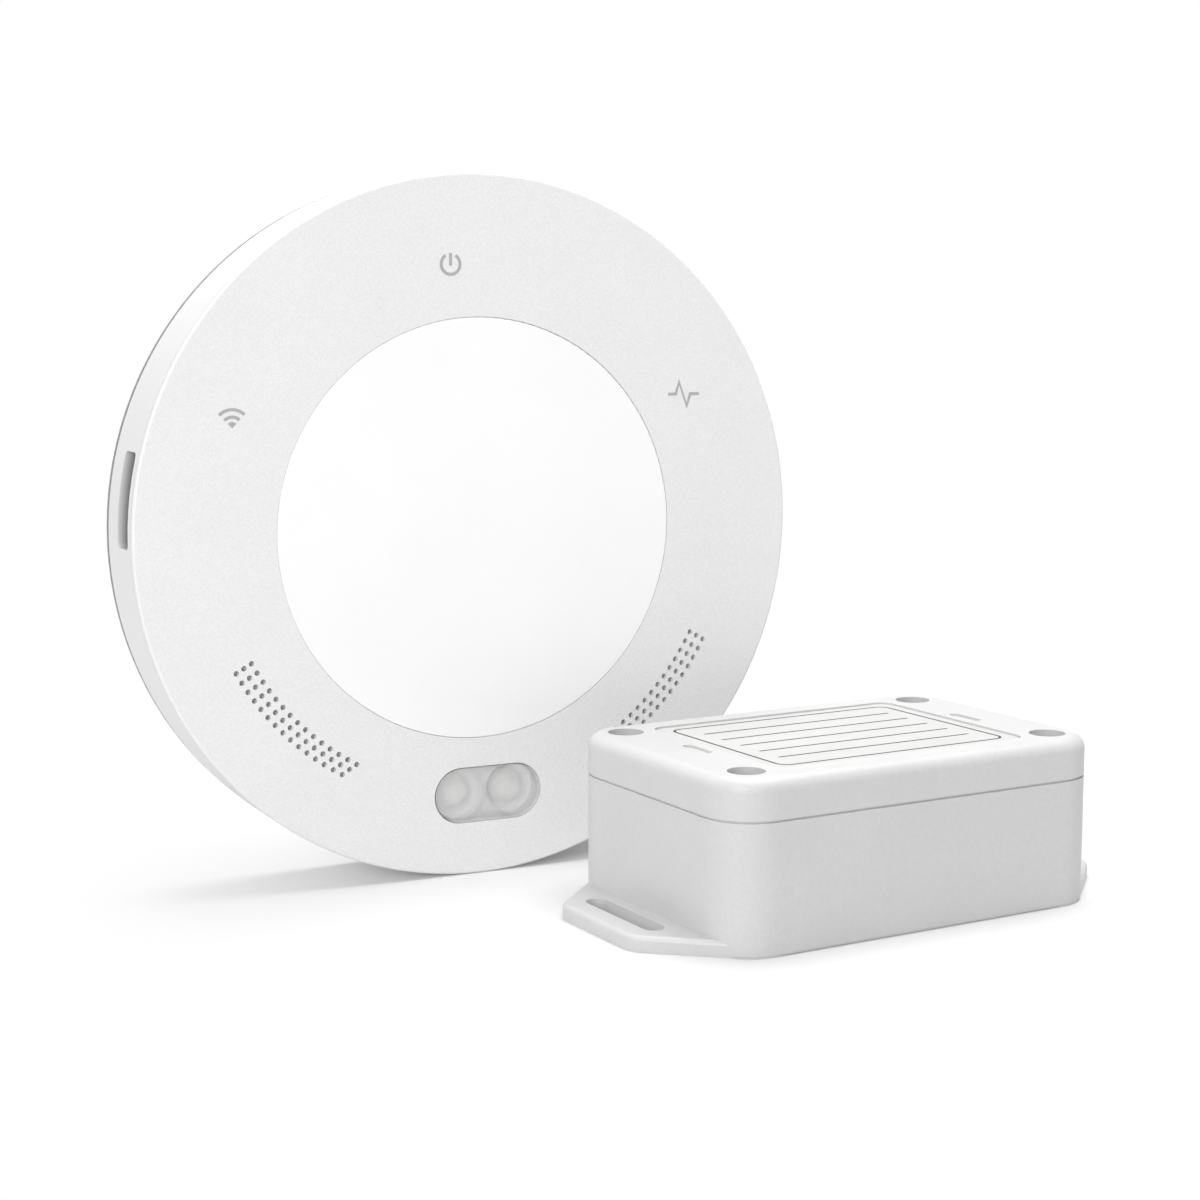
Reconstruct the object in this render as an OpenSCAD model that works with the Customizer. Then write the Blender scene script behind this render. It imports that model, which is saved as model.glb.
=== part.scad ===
// Garage door controller with its wireless door sensor.
// The round controller stands on its rim and faces -Y. The flanged sensor box lies flat in front of it.
// Lengths are in millimetres and angles in degrees. The set stands on z = 0, centred on the origin.

/* [Controller housing] */
// Diameter of the round housing
controller_d = 120; // [112:1:136]
// Depth from the wall face to the front face
controller_t = 17; // [16.5:0.5:20]
// Thickness of the rim wall
side_wall = 2; // [1.6:0.1:2.6]
// Thickness of the front wall
front_wall = 2; // [1.6:0.1:2.6]
// Width of the textured ring round the centre cap
ring_w = 24; // [23:0.5:27]
// Rounding of the rim's front edge
front_edge_r = 0.5; // [0.3:0.1:0.8]
// Rounding of the rim's rear edge
rear_edge_r = 0.8; // [0.5:0.1:1.5]
// Shadow gap between the rim and the wall
wall_gap = 1; // [0.8:0.1:1.4]
// Distance from the front edge's rounding to the fine groove round the rim
rim_groove_setback = 0.3; // [0.2:0.1:0.8]
// Width of that groove
rim_groove_w = 0.3; // [0.2:0.05:0.5]
// Depth of that groove
rim_groove_depth = 0.25; // [0.2:0.05:0.5]
// Clearance between pieces that fit together
fit_gap = 0.2; // [0.1:0.05:0.3]

/* [Centre cap] */
// Thickness of the cap's face
cap_t = 1.8; // [1.4:0.1:2.4]
// Width of the ledge that carries the cap
cap_ledge_w = 3; // [2:0.25:4]
// Thickness of that ledge
cap_ledge_t = 1.4; // [1:0.1:1.8]
// Wall that joins the ledge to the ring
cap_ledge_wall = 1.5; // [1:0.1:1.7]
// Height of the skirt that centres the cap in the ledge
cap_skirt_h = 2.4; // [1.8:0.1:2.8]
// Thickness of that skirt
cap_skirt_t = 1.4; // [1:0.1:2]
// Width of the open seam round the cap
cap_seam = 0.05; // [0.05:0.05:0.4]
// Rounding of the cap's front edge
cap_edge_r = 0.2; // [0.1:0.05:0.45]

/* [Sound holes] */
// Radius of the middle row's arc, measured as the distance that it stays inside the rim's radius
grille_inset = 12.1; // [11.8:0.1:12.6]
// Height of that arc's centre above the middle of the housing
grille_rise = 1.9; // [0:0.1:2.4]
// Distance between rows
grille_row_pitch = 1.5; // [1.3:0.1:1.8]
// Angle below the horizontal along which the rows follow each other
grille_row_angle = 29.7; // [24:0.1:36]
// Rows in a group
grille_rows = 3; // [1:1:3]
// Angle between the holes of a row
grille_step_angle = 2.23; // [2.1:0.01:2.3]
// Holes in a row
grille_count = 15; // [8:1:15]
// Diameter of one hole
grille_hole_d = 0.95; // [0.7:0.05:1.1]
// Angle from the horizontal down to the first hole
grille_start_angle = 28.6; // [27:0.1:30]
// Thickness of the front wall at the holes
grille_web_t = 0.8; // [0.6:0.1:1]

/* [Warning lamp] */
// Distance from the rim to the middle of the lamp window
lamp_inset = 14; // [13.4:0.1:14.6]
// Angle of the window on the face
lamp_angle = 271.5; // [267:0.5:273]
// Length of the window
lamp_l = 20; // [18:0.5:21]
// Width of the window
lamp_w = 9.8; // [9.2:0.1:10.4]
// How far the lens flange reaches behind the ring
lens_flange_w = 1.2; // [0.8:0.1:1.5]
// Thickness of the lens flange
lens_flange_t = 1; // [0.8:0.1:1.2]
// Thickness of the lens's front
lens_front_t = 1; // [0.7:0.1:1.2]
// Diameter of a lamp's dome
led_d = 5; // [4.5:0.1:5.2]
// Width of the collar at the foot of a lamp
led_collar_w = 0.4; // [0.2:0.05:0.5]
// Height of that collar
led_collar_h = 0.8; // [0.5:0.1:1]
// Straight part of a lamp above its collar
led_body_h = 0.9; // [0.4:0.1:1.1]
// Thickness of the reflector at the rim of a cup
reflector_rim = 0.6; // [0.4:0.1:0.8]

/* [Status lights] */
// Distance from the rim to the lit signs
status_inset = 14.6; // [13.8:0.1:15.4]
// Angle of the power sign
power_sign_angle = 96.5; // [90:0.5:100]
// Angle of the wireless sign
wireless_sign_angle = 155; // [150:0.5:158]
// Angle of the activity sign
activity_sign_angle = 29.5; // [24:0.5:32]
// Diameter of a light guide
guide_d = 4; // [3:0.1:4.6]
// Wall left in front of a light guide
guide_window_t = 0.8; // [0.5:0.1:1]
// Side of a status light
status_led_w = 3; // [2:0.1:3.4]
// Height of a status light
status_led_h = 0.8; // [0.5:0.1:1]

/* [Power inlet] */
// Length of the slot in the rim
inlet_l = 15.7; // [14:0.1:17]
// Width of that slot
inlet_w = 6.4; // [4.8:0.1:7]
// Distance from the socket's middle forward to the slot's middle
inlet_forward = 0.6; // [0:0.1:0.8]
// Rounding of that slot's corners
inlet_r = 1; // [0.5:0.1:2]
// Height of the slot above the middle of the housing
inlet_rise = 6.8; // [5:0.1:8]
// Width of the power socket
socket_w = 9; // [8.4:0.1:9.6]
// Height of the power socket
socket_h = 3.2; // [3:0.1:3.6]
// Length of the power socket
socket_l = 7.4; // [6.5:0.1:9]
// Sheet thickness of the socket's shell
socket_wall = 0.35; // [0.25:0.05:0.4]
// Thickness of the contact tongue in the socket
socket_tongue_t = 0.7; // [0.5:0.05:0.9]
// How far the socket's mouth stays behind the rim wall
socket_setback = 1; // [0.5:0.1:1.8]
// Width of the ears that carry the socket on the board
socket_ear_w = 2; // [1.5:0.1:2.4]
// Thickness of those ears
socket_ear_t = 0.4; // [0.3:0.05:0.5]
// Length of those ears
socket_ear_l = 4; // [3:0.1:4.2]
// Distance from the socket's mouth to its ears
socket_ear_setback = 2.6; // [2.4:0.1:3]

/* [Main board] */
// Thickness of the round circuit board
board_t = 1.6; // [1.2:0.1:2]
// Height of the board's rear face above the wall face
board_z = 9.6; // [9.2:0.1:9.8]
// Space between the board's edge and the rim wall
board_gap = 1.5; // [1:0.1:2.5]
// Diameter of a board post
post_d = 5; // [4.4:0.1:5.6]
// Distance from the rim to the board posts
post_inset = 20; // [19.5:0.1:20.4]
// Diameter of a board screw
board_screw_d = 2; // [1.8:0.1:2.4]
// Length of a board screw below its head
board_screw_l = 4.2; // [3.6:0.1:4.6]

/* [Sirens] */
// Diameter of a siren
siren_d = 17; // [15:0.5:17.5]
// Diameter of a siren's sound port
siren_port_d = 3; // [2:0.25:5]
// Depth of that port
siren_port_depth = 1; // [0.5:0.1:1.5]
// Thickness of the acoustic mesh
mesh_t = 0.4; // [0.3:0.05:0.6]
// Width of the strip of mesh behind the rows of holes
mesh_w = 10; // [8:0.5:12]
// How far the mesh reaches past the first and last holes, as an angle
mesh_margin_angle = 2; // [1.5:0.25:2.5]

/* [Rear cover] */
// Thickness of the rear cover
cover_t = 2; // [1.8:0.1:2.4]
// Distance from the rim to the edge of the cover's lip
cover_lip_inset = 0.1; // [0.1:0.05:1]
// Air between that lip and the rim's rear edge
cover_lip_gap = 0.3; // [0.2:0.05:0.5]
// Diameter of a case screw
case_screw_d = 2.5; // [2.2:0.1:2.8]
// Length of a case screw below its head
case_screw_l = 8; // [6:0.5:10]
// Diameter of the bosses for the case screws
boss_d = 6; // [5.4:0.1:6.4]
// Distance between the two keyholes
keyhole_pitch = 60; // [52:1:64]
// Diameter of a keyhole's entry
keyhole_d = 8; // [7:0.2:8.6]
// Width of a keyhole's slot
keyhole_slot_w = 4; // [3.4:0.1:4.2]
// Rise of a keyhole's slot above its entry
keyhole_rise = 7; // [6:0.5:8]
// Width of the wire window
wire_window_w = 20; // [16:0.5:22]
// Height of the wire window
wire_window_h = 8; // [6:0.5:9]
// Height of the wire window above the middle of the housing
wire_window_rise = 25; // [24:0.5:26]

/* [Board components] */
// Width of the terminal block
terminal_w = 15; // [12:0.5:18]
// Depth of the terminal block
terminal_l = 7.6; // [6.8:0.1:8.2]
// Height of the terminal block
terminal_h = 6.6; // [5.6:0.1:6.8]
// Ways of the terminal block
terminal_ways = 3; // [2:1:4]
// Space between the wire window and the terminal block
terminal_gap = 3; // [2.4:0.2:4]
// Length of the relay
relay_l = 15; // [12:0.5:17]
// Width of the relay
relay_w = 7.6; // [7:0.1:9]
// Height of the relay
relay_h = 6; // [5:0.1:6.6]
// Length of the radio module
radio_l = 24; // [20:0.5:26]
// Width of the radio module
radio_w = 17; // [14:0.5:18]
// Height of the radio module
radio_h = 2.6; // [2:0.1:3.2]
// Diameter of a capacitor
capacitor_d = 8; // [6.3:0.1:9]
// Height of a capacitor
capacitor_h = 6; // [5:0.1:6.6]
// Length of the antenna
antenna_l = 26; // [20:0.5:28]
// Height of the antenna
antenna_h = 5; // [4:0.1:6]
// Sheet thickness of the antenna
antenna_t = 0.5; // [0.3:0.05:0.8]

/* [Push buttons] */
// Side of a push switch's body
switch_w = 6; // [5.4:0.1:6.4]
// Height of a push switch's body
switch_h = 3.5; // [3.2:0.1:3.8]
// Diameter of a switch's stem
stem_d = 3; // [2.6:0.1:3.4]
// Clearance round a moving stem
stem_gap = 0.2; // [0.15:0.05:0.3]
// Depth of the stem in its switch at rest
stem_depth = 0.8; // [0.5:0.1:1]
// Travel of a button
button_travel = 0.4; // [0.2:0.05:0.6]
// Diameter of the reset button
reset_d = 4; // [3.6:0.1:4.6]
// How far the reset button lies below the cover's outer face
reset_sink = 0.6; // [0.3:0.1:1]
// Width of the collar that keeps the reset button in
reset_collar_w = 1; // [0.6:0.1:1.4]
// Thickness of that collar
reset_collar_t = 0.8; // [0.6:0.1:1.2]
// Clearance between the collar and the cover
reset_collar_gap = 0.1; // [0.05:0.05:0.2]

/* [Sensor box] */
// Length of the box
box_l = 73.2; // [70:0.2:80]
// Width of the box
box_w = 49.2; // [47:0.2:54]
// Height of the closed box
box_h = 27.8; // [26:0.2:32]
// Height of the lid
lid_h = 6.5; // [6:0.1:7]
// Corner rounding seen from above
box_r = 8; // [7:0.25:9]
// Rounding of the lid's top edge
lid_edge_r = 2.2; // [1.2:0.1:2.6]
// Rounding of the base's bottom edge
base_edge_r = 0.6; // [0.4:0.1:2]
// Thickness of the box's walls and floor
box_wall = 2.2; // [2:0.1:2.6]
// Thickness of the lid's top
lid_top_t = 2.2; // [1.8:0.1:2.6]
// Depth and height of the seam groove under the lid
seam = 0.35; // [0.2:0.05:0.5]
// Height of the tongue that centres the lid in the base
tongue_h = 1.6; // [1.2:0.1:2]
// Thickness of that tongue
tongue_t = 1.2; // [0.9:0.1:1.4]
// Width of the gasket
gasket_w = 0.9; // [0.7:0.05:1]
// Height of the gasket
gasket_h = 0.8; // [0.6:0.05:1]

/* [Sensor flanges] */
// Length of a flange past the end of the box
flange_l = 9.8; // [9:0.2:12]
// How far a flange's sides stay inside the box's round corners
flange_root_inset = 0.15; // [0.1:0.05:0.5]
// Width of a flange at its tip
flange_tip_w = 26; // [22:0.5:28]
// Thickness of a flange
flange_t = 2.6; // [2.2:0.1:3.2]
// Rounding of a flange's tip corners
flange_r = 4; // [2.5:0.25:5]
// Rounding of a flange's top edge
flange_edge_r = 0.8; // [0.4:0.1:1.2]
// Length of the slot in a flange
flange_slot_l = 21; // [16:0.5:22]
// Width of that slot
flange_slot_w = 3.6; // [3:0.1:4.2]
// Distance from the box to the middle of the slot
flange_slot_out = 4.2; // [4:0.1:5.4]

/* [Sensor lid details] */
// Distance from the box's sides to the middle of a lid screw
lid_screw_inset = 6.7; // [6.4:0.1:7]
// Diameter of a screw well
well_d = 6; // [5.8:0.1:6.6]
// Depth of a screw well
well_depth = 3.6; // [3.2:0.1:4]
// Diameter of a lid screw
lid_screw_d = 2.9; // [2.6:0.1:3]
// Length of a lid screw below its head
lid_screw_l = 12; // [9:0.5:14]
// Diameter of the bosses round the lid screws
lid_boss_d = 8.4; // [8:0.1:8.8]
// Space between the label recess and the screw wells' sides
label_end_gap = 2.2; // [1.6:0.1:5]
// Distance from the box's long sides to the label recess
label_side = 5.6; // [5:0.1:9]
// Depth of the label recess
label_depth = 0.4; // [0.2:0.05:0.6]
// Corner rounding of the label recess
label_r = 2.5; // [1:0.25:3]
// Length of the moulded mark beside the label
mark_l = 7.4; // [5:0.2:9]
// Width of that mark
mark_w = 1.8; // [1.2:0.1:2.2]
// Distance from the box's end to the mark
mark_inset = 9.3; // [8.5:0.1:10.5]

/* [Sensor inside] */
// Space between the ends of the sensor's board and the lid screws' bosses
sensor_board_end_gap = 0.6; // [0.4:0.1:1]
// Space between the sides of the sensor's board and the walls
sensor_board_side_gap = 2.3; // [1.8:0.1:2.6]
// Thickness of the sensor's board
sensor_board_t = 1.2; // [1:0.1:1.6]
// Height of the posts under the sensor's board
sensor_post_h = 3; // [2.4:0.1:4]
// Diameter of those posts
sensor_post_d = 5; // [4.4:0.1:5.6]
// Diameter of a battery cell
cell_d = 10.5; // [9.5:0.1:10.8]
// Distance from the board's ends to the battery holder
holder_end = 0.85; // [0.6:0.05:1.5]
// Distance from the board's rear edge to the battery holder
holder_edge = 1.5; // [1.2:0.1:2]
// Wall of the battery holder
holder_wall = 1; // [0.8:0.1:1.2]
// Height of the battery holder's sides
holder_h = 7; // [5:0.5:8]
// Thickness of a battery contact
contact_t = 0.6; // [0.4:0.05:0.8]
// Outer diameter of the tilt switch
tilt_d = 6.4; // [6:0.1:7]
// Height of the tilt switch
tilt_h = 10; // [9:0.25:12]
// Wall of the tilt switch
tilt_wall = 0.8; // [0.6:0.05:0.9]
// Diameter of the ball in the tilt switch
ball_d = 4; // [3.6:0.1:4.2]
// Clearance under and over the ball
ball_gap = 0.1; // [0.05:0.05:0.2]
// Space before and behind the sensor's radio
sensor_radio_gap = 1.3; // [0.8:0.1:2]
// Height of the sensor's radio
sensor_radio_h = 1.8; // [1.4:0.1:2.6]
// Length of the sensor's antenna
sensor_antenna_l = 6; // [4:0.5:6.5]
// Space between the sensor's antenna and the board's front edge
sensor_antenna_gap = 0.8; // [0.5:0.1:1.2]
// Space between the sensor's light and the battery holder
sensor_led_gap = 2.3; // [1.5:0.1:2.6]
// Height of the pairing button above its switch
pair_cap_h = 1.2; // [0.8:0.1:1.6]

/* [Place of the sensor] */
// Distance from the controller's middle to the sensor's middle, to the right
sensor_right = 46.8; // [40:0.2:70]
// Distance from the controller's face to the sensor's middle, to the front
sensor_front = 40; // [38:0.2:60]
// Turn of the sensor seen from above
sensor_turn_angle = 4.2; // [0:0.1:10]

/* [Hidden] */
$fn = 64;
// Overshoot of a cut past the face that it opens
cut = 0.5;

// Colours
white_grain = [0.93, 0.93, 0.93];
white_gloss = [0.98, 0.98, 0.98];
grey_cover = [0.55, 0.55, 0.56];
box_white = [0.86, 0.87, 0.87];
frosted = [0.83, 0.84, 0.85];
steel = [0.70, 0.71, 0.73];
brass = [0.78, 0.66, 0.38];
board_green = [0.10, 0.32, 0.20];
black = [0.12, 0.12, 0.13];
mesh_grey = [0.36, 0.36, 0.37];

// Controller heights, from the wall face forwards
rim_r = controller_d / 2;
shell_r = rim_r - side_wall;
front_in_z = controller_t - front_wall;
board_front_z = board_z + board_t;
mesh_rear_z = controller_t - grille_web_t - mesh_t;
lens_rear_z = front_in_z - lens_flange_t;

// Centre cap
cap_r = rim_r - ring_w;
ledge_r = cap_r - cap_ledge_w;
ledge_top_z = controller_t - cap_t;
ledge_low_z = ledge_top_z - cap_ledge_t;

// Features of the ring
grille_r = rim_r - grille_inset;
grille_span = (grille_count - 1) * grille_step_angle;
grille_mid = grille_start_angle + grille_span / 2;
mesh_span = grille_span + 2 * mesh_margin_angle;
lamp_r = rim_r - lamp_inset;
lamp_pitch = lamp_l - lamp_w;
status_r = rim_r - status_inset;
status_angles = [power_sign_angle, wireless_sign_angle, activity_sign_angle];
reflector_cup_r = lamp_w / 2 - reflector_rim;
led_collar_r = led_d / 2 + led_collar_w;

// Posts and bosses: the lower ones flank the lamp window, and the bosses bite into the rim wall
post_r = rim_r - post_inset;
post_angles = [60, 120, 250, 290];
boss_bite = 0.5;
boss_r = shell_r - boss_d / 2 + boss_bite;
boss_angles = [62, 118, 246, 294];

// Screw heads, by the screw's diameter, and the air beside a thread and over a sunk head
function head_d(d) = 1.9 * d;
function head_h(d) = 0.55 * d;
screw_gap = 0.05;
head_sink = 0.1;
case_well_depth = head_h(case_screw_d) + head_sink;

// Bore of a push switch: the stem, its travel and some air
stem_air = 0.3;
switch_bore = stem_depth + button_travel + stem_air;

// Places of the components on the rear of the main board, most of them as shares of its radius
board_r = shell_r - board_gap;
terminal_at = [0, wire_window_rise + wire_window_h / 2 + terminal_gap + terminal_l / 2];
relay_at = board_r * [0.265, 0.21];
radio_at = board_r * [-0.125, -0.21];
antenna_at = board_r * [0.105, -0.515];
capacitors_at = [board_r * [-0.21, 0.23], board_r * [-0.39, -0.53]];
reset_at = board_r * [0.355, -0.21];

// Power slot at the height of the board's middle, where the socket sits in a notch
inlet_z = board_z + board_t / 2;
inlet_top = inlet_rise + inlet_l / 2;
inlet_depth = side_wall + rim_r - sqrt(rim_r * rim_r - inlet_top * inlet_top);
socket_mouth_x = -shell_r + socket_setback;

// Sensor heights, from its underside
seam_z = box_h - lid_h;
tongue_inset = box_wall + fit_gap;
lid_in_z = box_h - lid_top_t;
well_z = box_h - well_depth;
lid_screw_x = box_l / 2 - lid_screw_inset;
lid_screw_y = box_w / 2 - lid_screw_inset;
label_l = 2 * (lid_screw_x - well_d / 2 - label_end_gap);
label_w = box_w - 2 * label_side;
gasket_inset = seam + (box_wall - seam - gasket_w) / 2;
sensor_board_l = 2 * (lid_screw_x - lid_boss_d / 2 - sensor_board_end_gap);
sensor_board_w = box_w - 2 * box_wall - 2 * sensor_board_side_gap;
sensor_board_z = box_wall + sensor_post_h;
sensor_board_top = sensor_board_z + sensor_board_t;
sensor_post_edge = 0.3;
sensor_post_x = sensor_board_l / 2 - sensor_post_d / 2 - sensor_post_edge;
sensor_post_y = sensor_board_w / 2 - sensor_post_d / 2 - sensor_post_edge;

// Battery holder at the rear edge of the sensor's board, two cells side by side
cell_gap = 0.3;
holder_l = sensor_board_l - 2 * holder_end;
holder_in_l = holder_l - 2 * holder_wall;
cell_l = holder_in_l - 2 * contact_t - 2 * cell_gap;
cell_pitch = cell_d + cell_gap;
holder_in_w = 2 * cell_d + 3 * cell_gap;
holder_w = holder_in_w + 2 * holder_wall;
holder_y = sensor_board_w / 2 - holder_w / 2 - holder_edge;
cell_z = sensor_board_top + holder_wall + cell_d / 2;

// Places of the components along the front edge of the sensor's board, as shares of its length
front_row_w = sensor_board_w - holder_edge - holder_w;
front_row_y = (front_row_w - sensor_board_w) / 2;
tilt_at = [-0.3 * sensor_board_l, front_row_y];
pair_at = [-0.1 * sensor_board_l, front_row_y];
sensor_radio_at = [0.12 * sensor_board_l, front_row_y];
sensor_radio_l = 0.22 * sensor_board_l;
sensor_radio_w = front_row_w - 2 * sensor_radio_gap;
sensor_led_y = front_row_y + (front_row_w - status_led_w) / 2 - sensor_led_gap;
sensor_led_at = [0.295 * sensor_board_l, sensor_led_y];
sensor_antenna_y = front_row_y - (front_row_w - sensor_antenna_l) / 2 + sensor_antenna_gap;
sensor_antenna_at = [0.35 * sensor_board_l, sensor_antenna_y];
sensor_antenna_w = 2;
tilt_bore_r = tilt_d / 2 - tilt_wall;
tilt_floor_z = sensor_board_top + tilt_wall;

// Reach of the turned sensor from its middle, and the place of both units round the origin
flange_tip_x = box_l / 2 + flange_l - flange_r;
flange_tip_y = flange_tip_w / 2 - flange_r;
turn_cos = cos(sensor_turn_angle);
turn_sin = sin(sensor_turn_angle);
sensor_reach_x = flange_tip_x * turn_cos + flange_tip_y * turn_sin + flange_r;
sensor_reach_y = (box_l / 2 - box_r) * turn_sin + (box_w / 2 - box_r) * turn_cos + box_r;
controller_x = (rim_r - sensor_right - sensor_reach_x) / 2;
controller_y = (controller_t + sensor_front + sensor_reach_y) / 2;
sensor_x = controller_x + sensor_right;
sensor_y = controller_y - controller_t - sensor_front;

// Shared shapes

// Puts a piece that is drawn with its face up onto the standing controller
module in_controller() {
  translate([controller_x, controller_y, rim_r]) rotate([90, 0, 0]) children();
}

// Puts a piece of the sensor where the sensor lies
module in_sensor() {
  translate([sensor_x, sensor_y, 0]) rotate([0, 0, sensor_turn_angle]) children();
}

// Places children at an angle on the controller's face
module on_face(radius, angle) {
  translate([radius * cos(angle), radius * sin(angle), 0]) children();
}

// Block that stands on z = 0, centred on the Z axis
module block(l, w, h) {
  translate([-l / 2, -w / 2, 0]) cube([l, w, h]);
}

// Outline with two straight sides and round ends, along X
module pill_2d(l, w) {
  square([l - w, w], center = true);
  for (side = [-1, 1]) translate([side * (l - w) / 2, 0]) circle(d = w);
}

// Rectangle with round corners
module round_rect_2d(l, w, r) {
  square([l - 2 * r, w], center = true);
  square([l, w - 2 * r], center = true);
  for (x = [-1, 1], y = [-1, 1]) translate([x * (l / 2 - r), y * (w / 2 - r)]) circle(r);
}

// Section of a slab whose two top corners are round
module soft_section_2d(w, h, edge) {
  translate([-w / 2, 0]) square([w, h - edge]);
  translate([-w / 2 + edge, 0]) square([w - 2 * edge, h]);
  for (side = [-1, 1]) translate([side * (w / 2 - edge), h - edge]) circle(edge);
}

// Disc with a rounded top edge
module soft_disc(r, h, edge) {
  rotate_extrude() intersection() {
    soft_section_2d(2 * r, h, edge);
    square([r, h]);
  }
}

// Box with round corners and a rounded top edge
module soft_box(l, w, h, r, edge) {
  rotate([90, 0, 90]) linear_extrude(l - 2 * r, center = true) soft_section_2d(w, h, edge);
  rotate([90, 0, 0]) linear_extrude(w - 2 * r, center = true) soft_section_2d(l, h, edge);
  for (x = [-1, 1], y = [-1, 1]) translate([x * (l / 2 - r), y * (w / 2 - r), 0])
    soft_disc(r, h, edge);
}

// Cross-head screw: the head's top lies at z = 0 and the shank points up
module screw(d, l) {
  recess_w = 0.22 * head_d(d);
  recess_l = 0.62 * head_d(d);
  recess_depth = 0.5 * head_h(d);
  difference() {
    union() {
      cylinder(d = head_d(d), h = head_h(d));
      cylinder(d = d, h = head_h(d) + l);
    }
    for (a = [0, 90]) rotate(a)
      translate([-recess_l / 2, -recess_w / 2, -cut]) cube([recess_l, recess_w, recess_depth + cut]);
  }
}

// Body of a push switch on its board, open at the top for the stem
module switch_body() {
  difference() {
    block(switch_w, switch_w, switch_h);
    translate([0, 0, switch_h - switch_bore]) cylinder(d = stem_d + 2 * stem_gap, h = switch_bore + cut);
  }
}

// Controller housing

// Half section of the shell: rim wall, front wall and the cap's ledge
module shell_section() {
  difference() {
    union() {
      translate([ledge_r, wall_gap])
        square([rim_r - rear_edge_r - ledge_r, controller_t - wall_gap - front_edge_r]);
      translate([ledge_r, wall_gap + rear_edge_r])
        square([rim_r - ledge_r, controller_t - front_edge_r - wall_gap - rear_edge_r]);
      translate([ledge_r, wall_gap + rear_edge_r])
        square([rim_r - front_edge_r - ledge_r, controller_t - wall_gap - rear_edge_r]);
      translate([rim_r - front_edge_r, controller_t - front_edge_r]) circle(front_edge_r);
      translate([rim_r - rear_edge_r, wall_gap + rear_edge_r]) circle(rear_edge_r);
    }
    // hollow behind the front wall
    translate([cap_r + cap_seam + cap_ledge_wall, 0])
      square([shell_r - cap_r - cap_seam - cap_ledge_wall, front_in_z]);
    // hollow behind the ledge
    square([cap_r + cap_seam + cap_ledge_wall + cut, ledge_low_z]);
    // seat of the cap
    translate([0, ledge_top_z]) square([cap_r + cap_seam, cap_t + cut]);
    // fine groove round the rim
    translate([rim_r - rim_groove_depth, controller_t - front_edge_r - rim_groove_setback - rim_groove_w])
      square([rim_groove_depth + cut, rim_groove_w]);
  }
}

// Sound holes: each row is the same arc, set along one straight line from the last
module grille_holes() {
  for (side = [-1, 1], row = [0 : grille_rows - 1], i = [0 : grille_count - 1]) {
    below = grille_start_angle + i * grille_step_angle;
    shift = (row - (grille_rows - 1) / 2) * grille_row_pitch;
    x = grille_r * cos(below) + shift * cos(grille_row_angle);
    y = grille_rise - grille_r * sin(below) - shift * sin(grille_row_angle);
    translate([side * x, y, front_in_z - cut])
      cylinder(d = grille_hole_d, h = front_wall + 2 * cut, $fn = 16);
  }
}

// Strip along both groups of sound holes, or its seat with some air all round
module grille_strips(h, air) {
  air_angle = atan2(air, grille_r);
  for (side = [0, 1]) mirror([side, 0, 0]) translate([0, grille_rise, 0])
    rotate(-grille_mid - mesh_span / 2 - air_angle)
      rotate_extrude(angle = mesh_span + 2 * air_angle, $fn = 180)
        translate([grille_r - mesh_w / 2 - air, 0]) square([mesh_w + 2 * air, h]);
}

module face_ring() {
  color(white_grain) in_controller() difference() {
    union() {
      rotate_extrude($fn = 180) shell_section();
      for (a = post_angles) on_face(post_r, a)
        translate([0, 0, board_front_z]) cylinder(d = post_d, h = front_in_z - board_front_z + cut);
      for (a = boss_angles) on_face(boss_r, a)
        translate([0, 0, cover_t]) cylinder(d = boss_d, h = front_in_z - cover_t + cut);
    }
    grille_holes();
    translate([0, 0, front_in_z - cut]) grille_strips(front_wall - grille_web_t + cut, fit_gap);
    on_face(lamp_r, lamp_angle) translate([0, 0, front_in_z - cut])
      linear_extrude(front_wall + 2 * cut) pill_2d(lamp_l, lamp_w);
    for (a = status_angles) on_face(status_r, a) translate([0, 0, front_in_z - cut])
      cylinder(d = guide_d + 2 * fit_gap, h = front_wall - guide_window_t + cut);
    for (a = post_angles) on_face(post_r, a) translate([0, 0, board_front_z - cut])
      cylinder(d = board_screw_d + 2 * screw_gap, h = board_screw_l - board_t + 2 * cut);
    for (a = boss_angles) on_face(boss_r, a) translate([0, 0, cover_t - cut])
      cylinder(d = case_screw_d + 2 * screw_gap, h = case_screw_l + 2 * cut);
    translate([-rim_r - cut, inlet_rise, inlet_z + inlet_forward]) rotate([90, 0, 90])
      linear_extrude(inlet_depth + 2 * cut) round_rect_2d(inlet_l, inlet_w, inlet_r);
  }
}

module centre_cap() {
  color(white_gloss) in_controller() {
    translate([0, 0, ledge_top_z]) rotate_extrude($fn = 180) {
      square([cap_r, cap_t - cap_edge_r]);
      square([cap_r - cap_edge_r, cap_t]);
      translate([cap_r - cap_edge_r, cap_t - cap_edge_r]) circle(cap_edge_r, $fn = 32);
    }
    translate([0, 0, ledge_top_z - cap_skirt_h]) difference() {
      cylinder(r = ledge_r - fit_gap, h = cap_skirt_h, $fn = 180);
      translate([0, 0, -cut])
        cylinder(r = ledge_r - fit_gap - cap_skirt_t, h = cap_skirt_h + cut, $fn = 180);
    }
  }
}

module keyhole() {
  translate([0, 0, -cut]) {
    cylinder(d = keyhole_d, h = cover_t + 2 * cut);
    translate([-keyhole_slot_w / 2, 0, 0]) cube([keyhole_slot_w, keyhole_rise, cover_t + 2 * cut]);
    translate([0, keyhole_rise, 0]) cylinder(d = keyhole_slot_w, h = cover_t + 2 * cut);
  }
}

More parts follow.
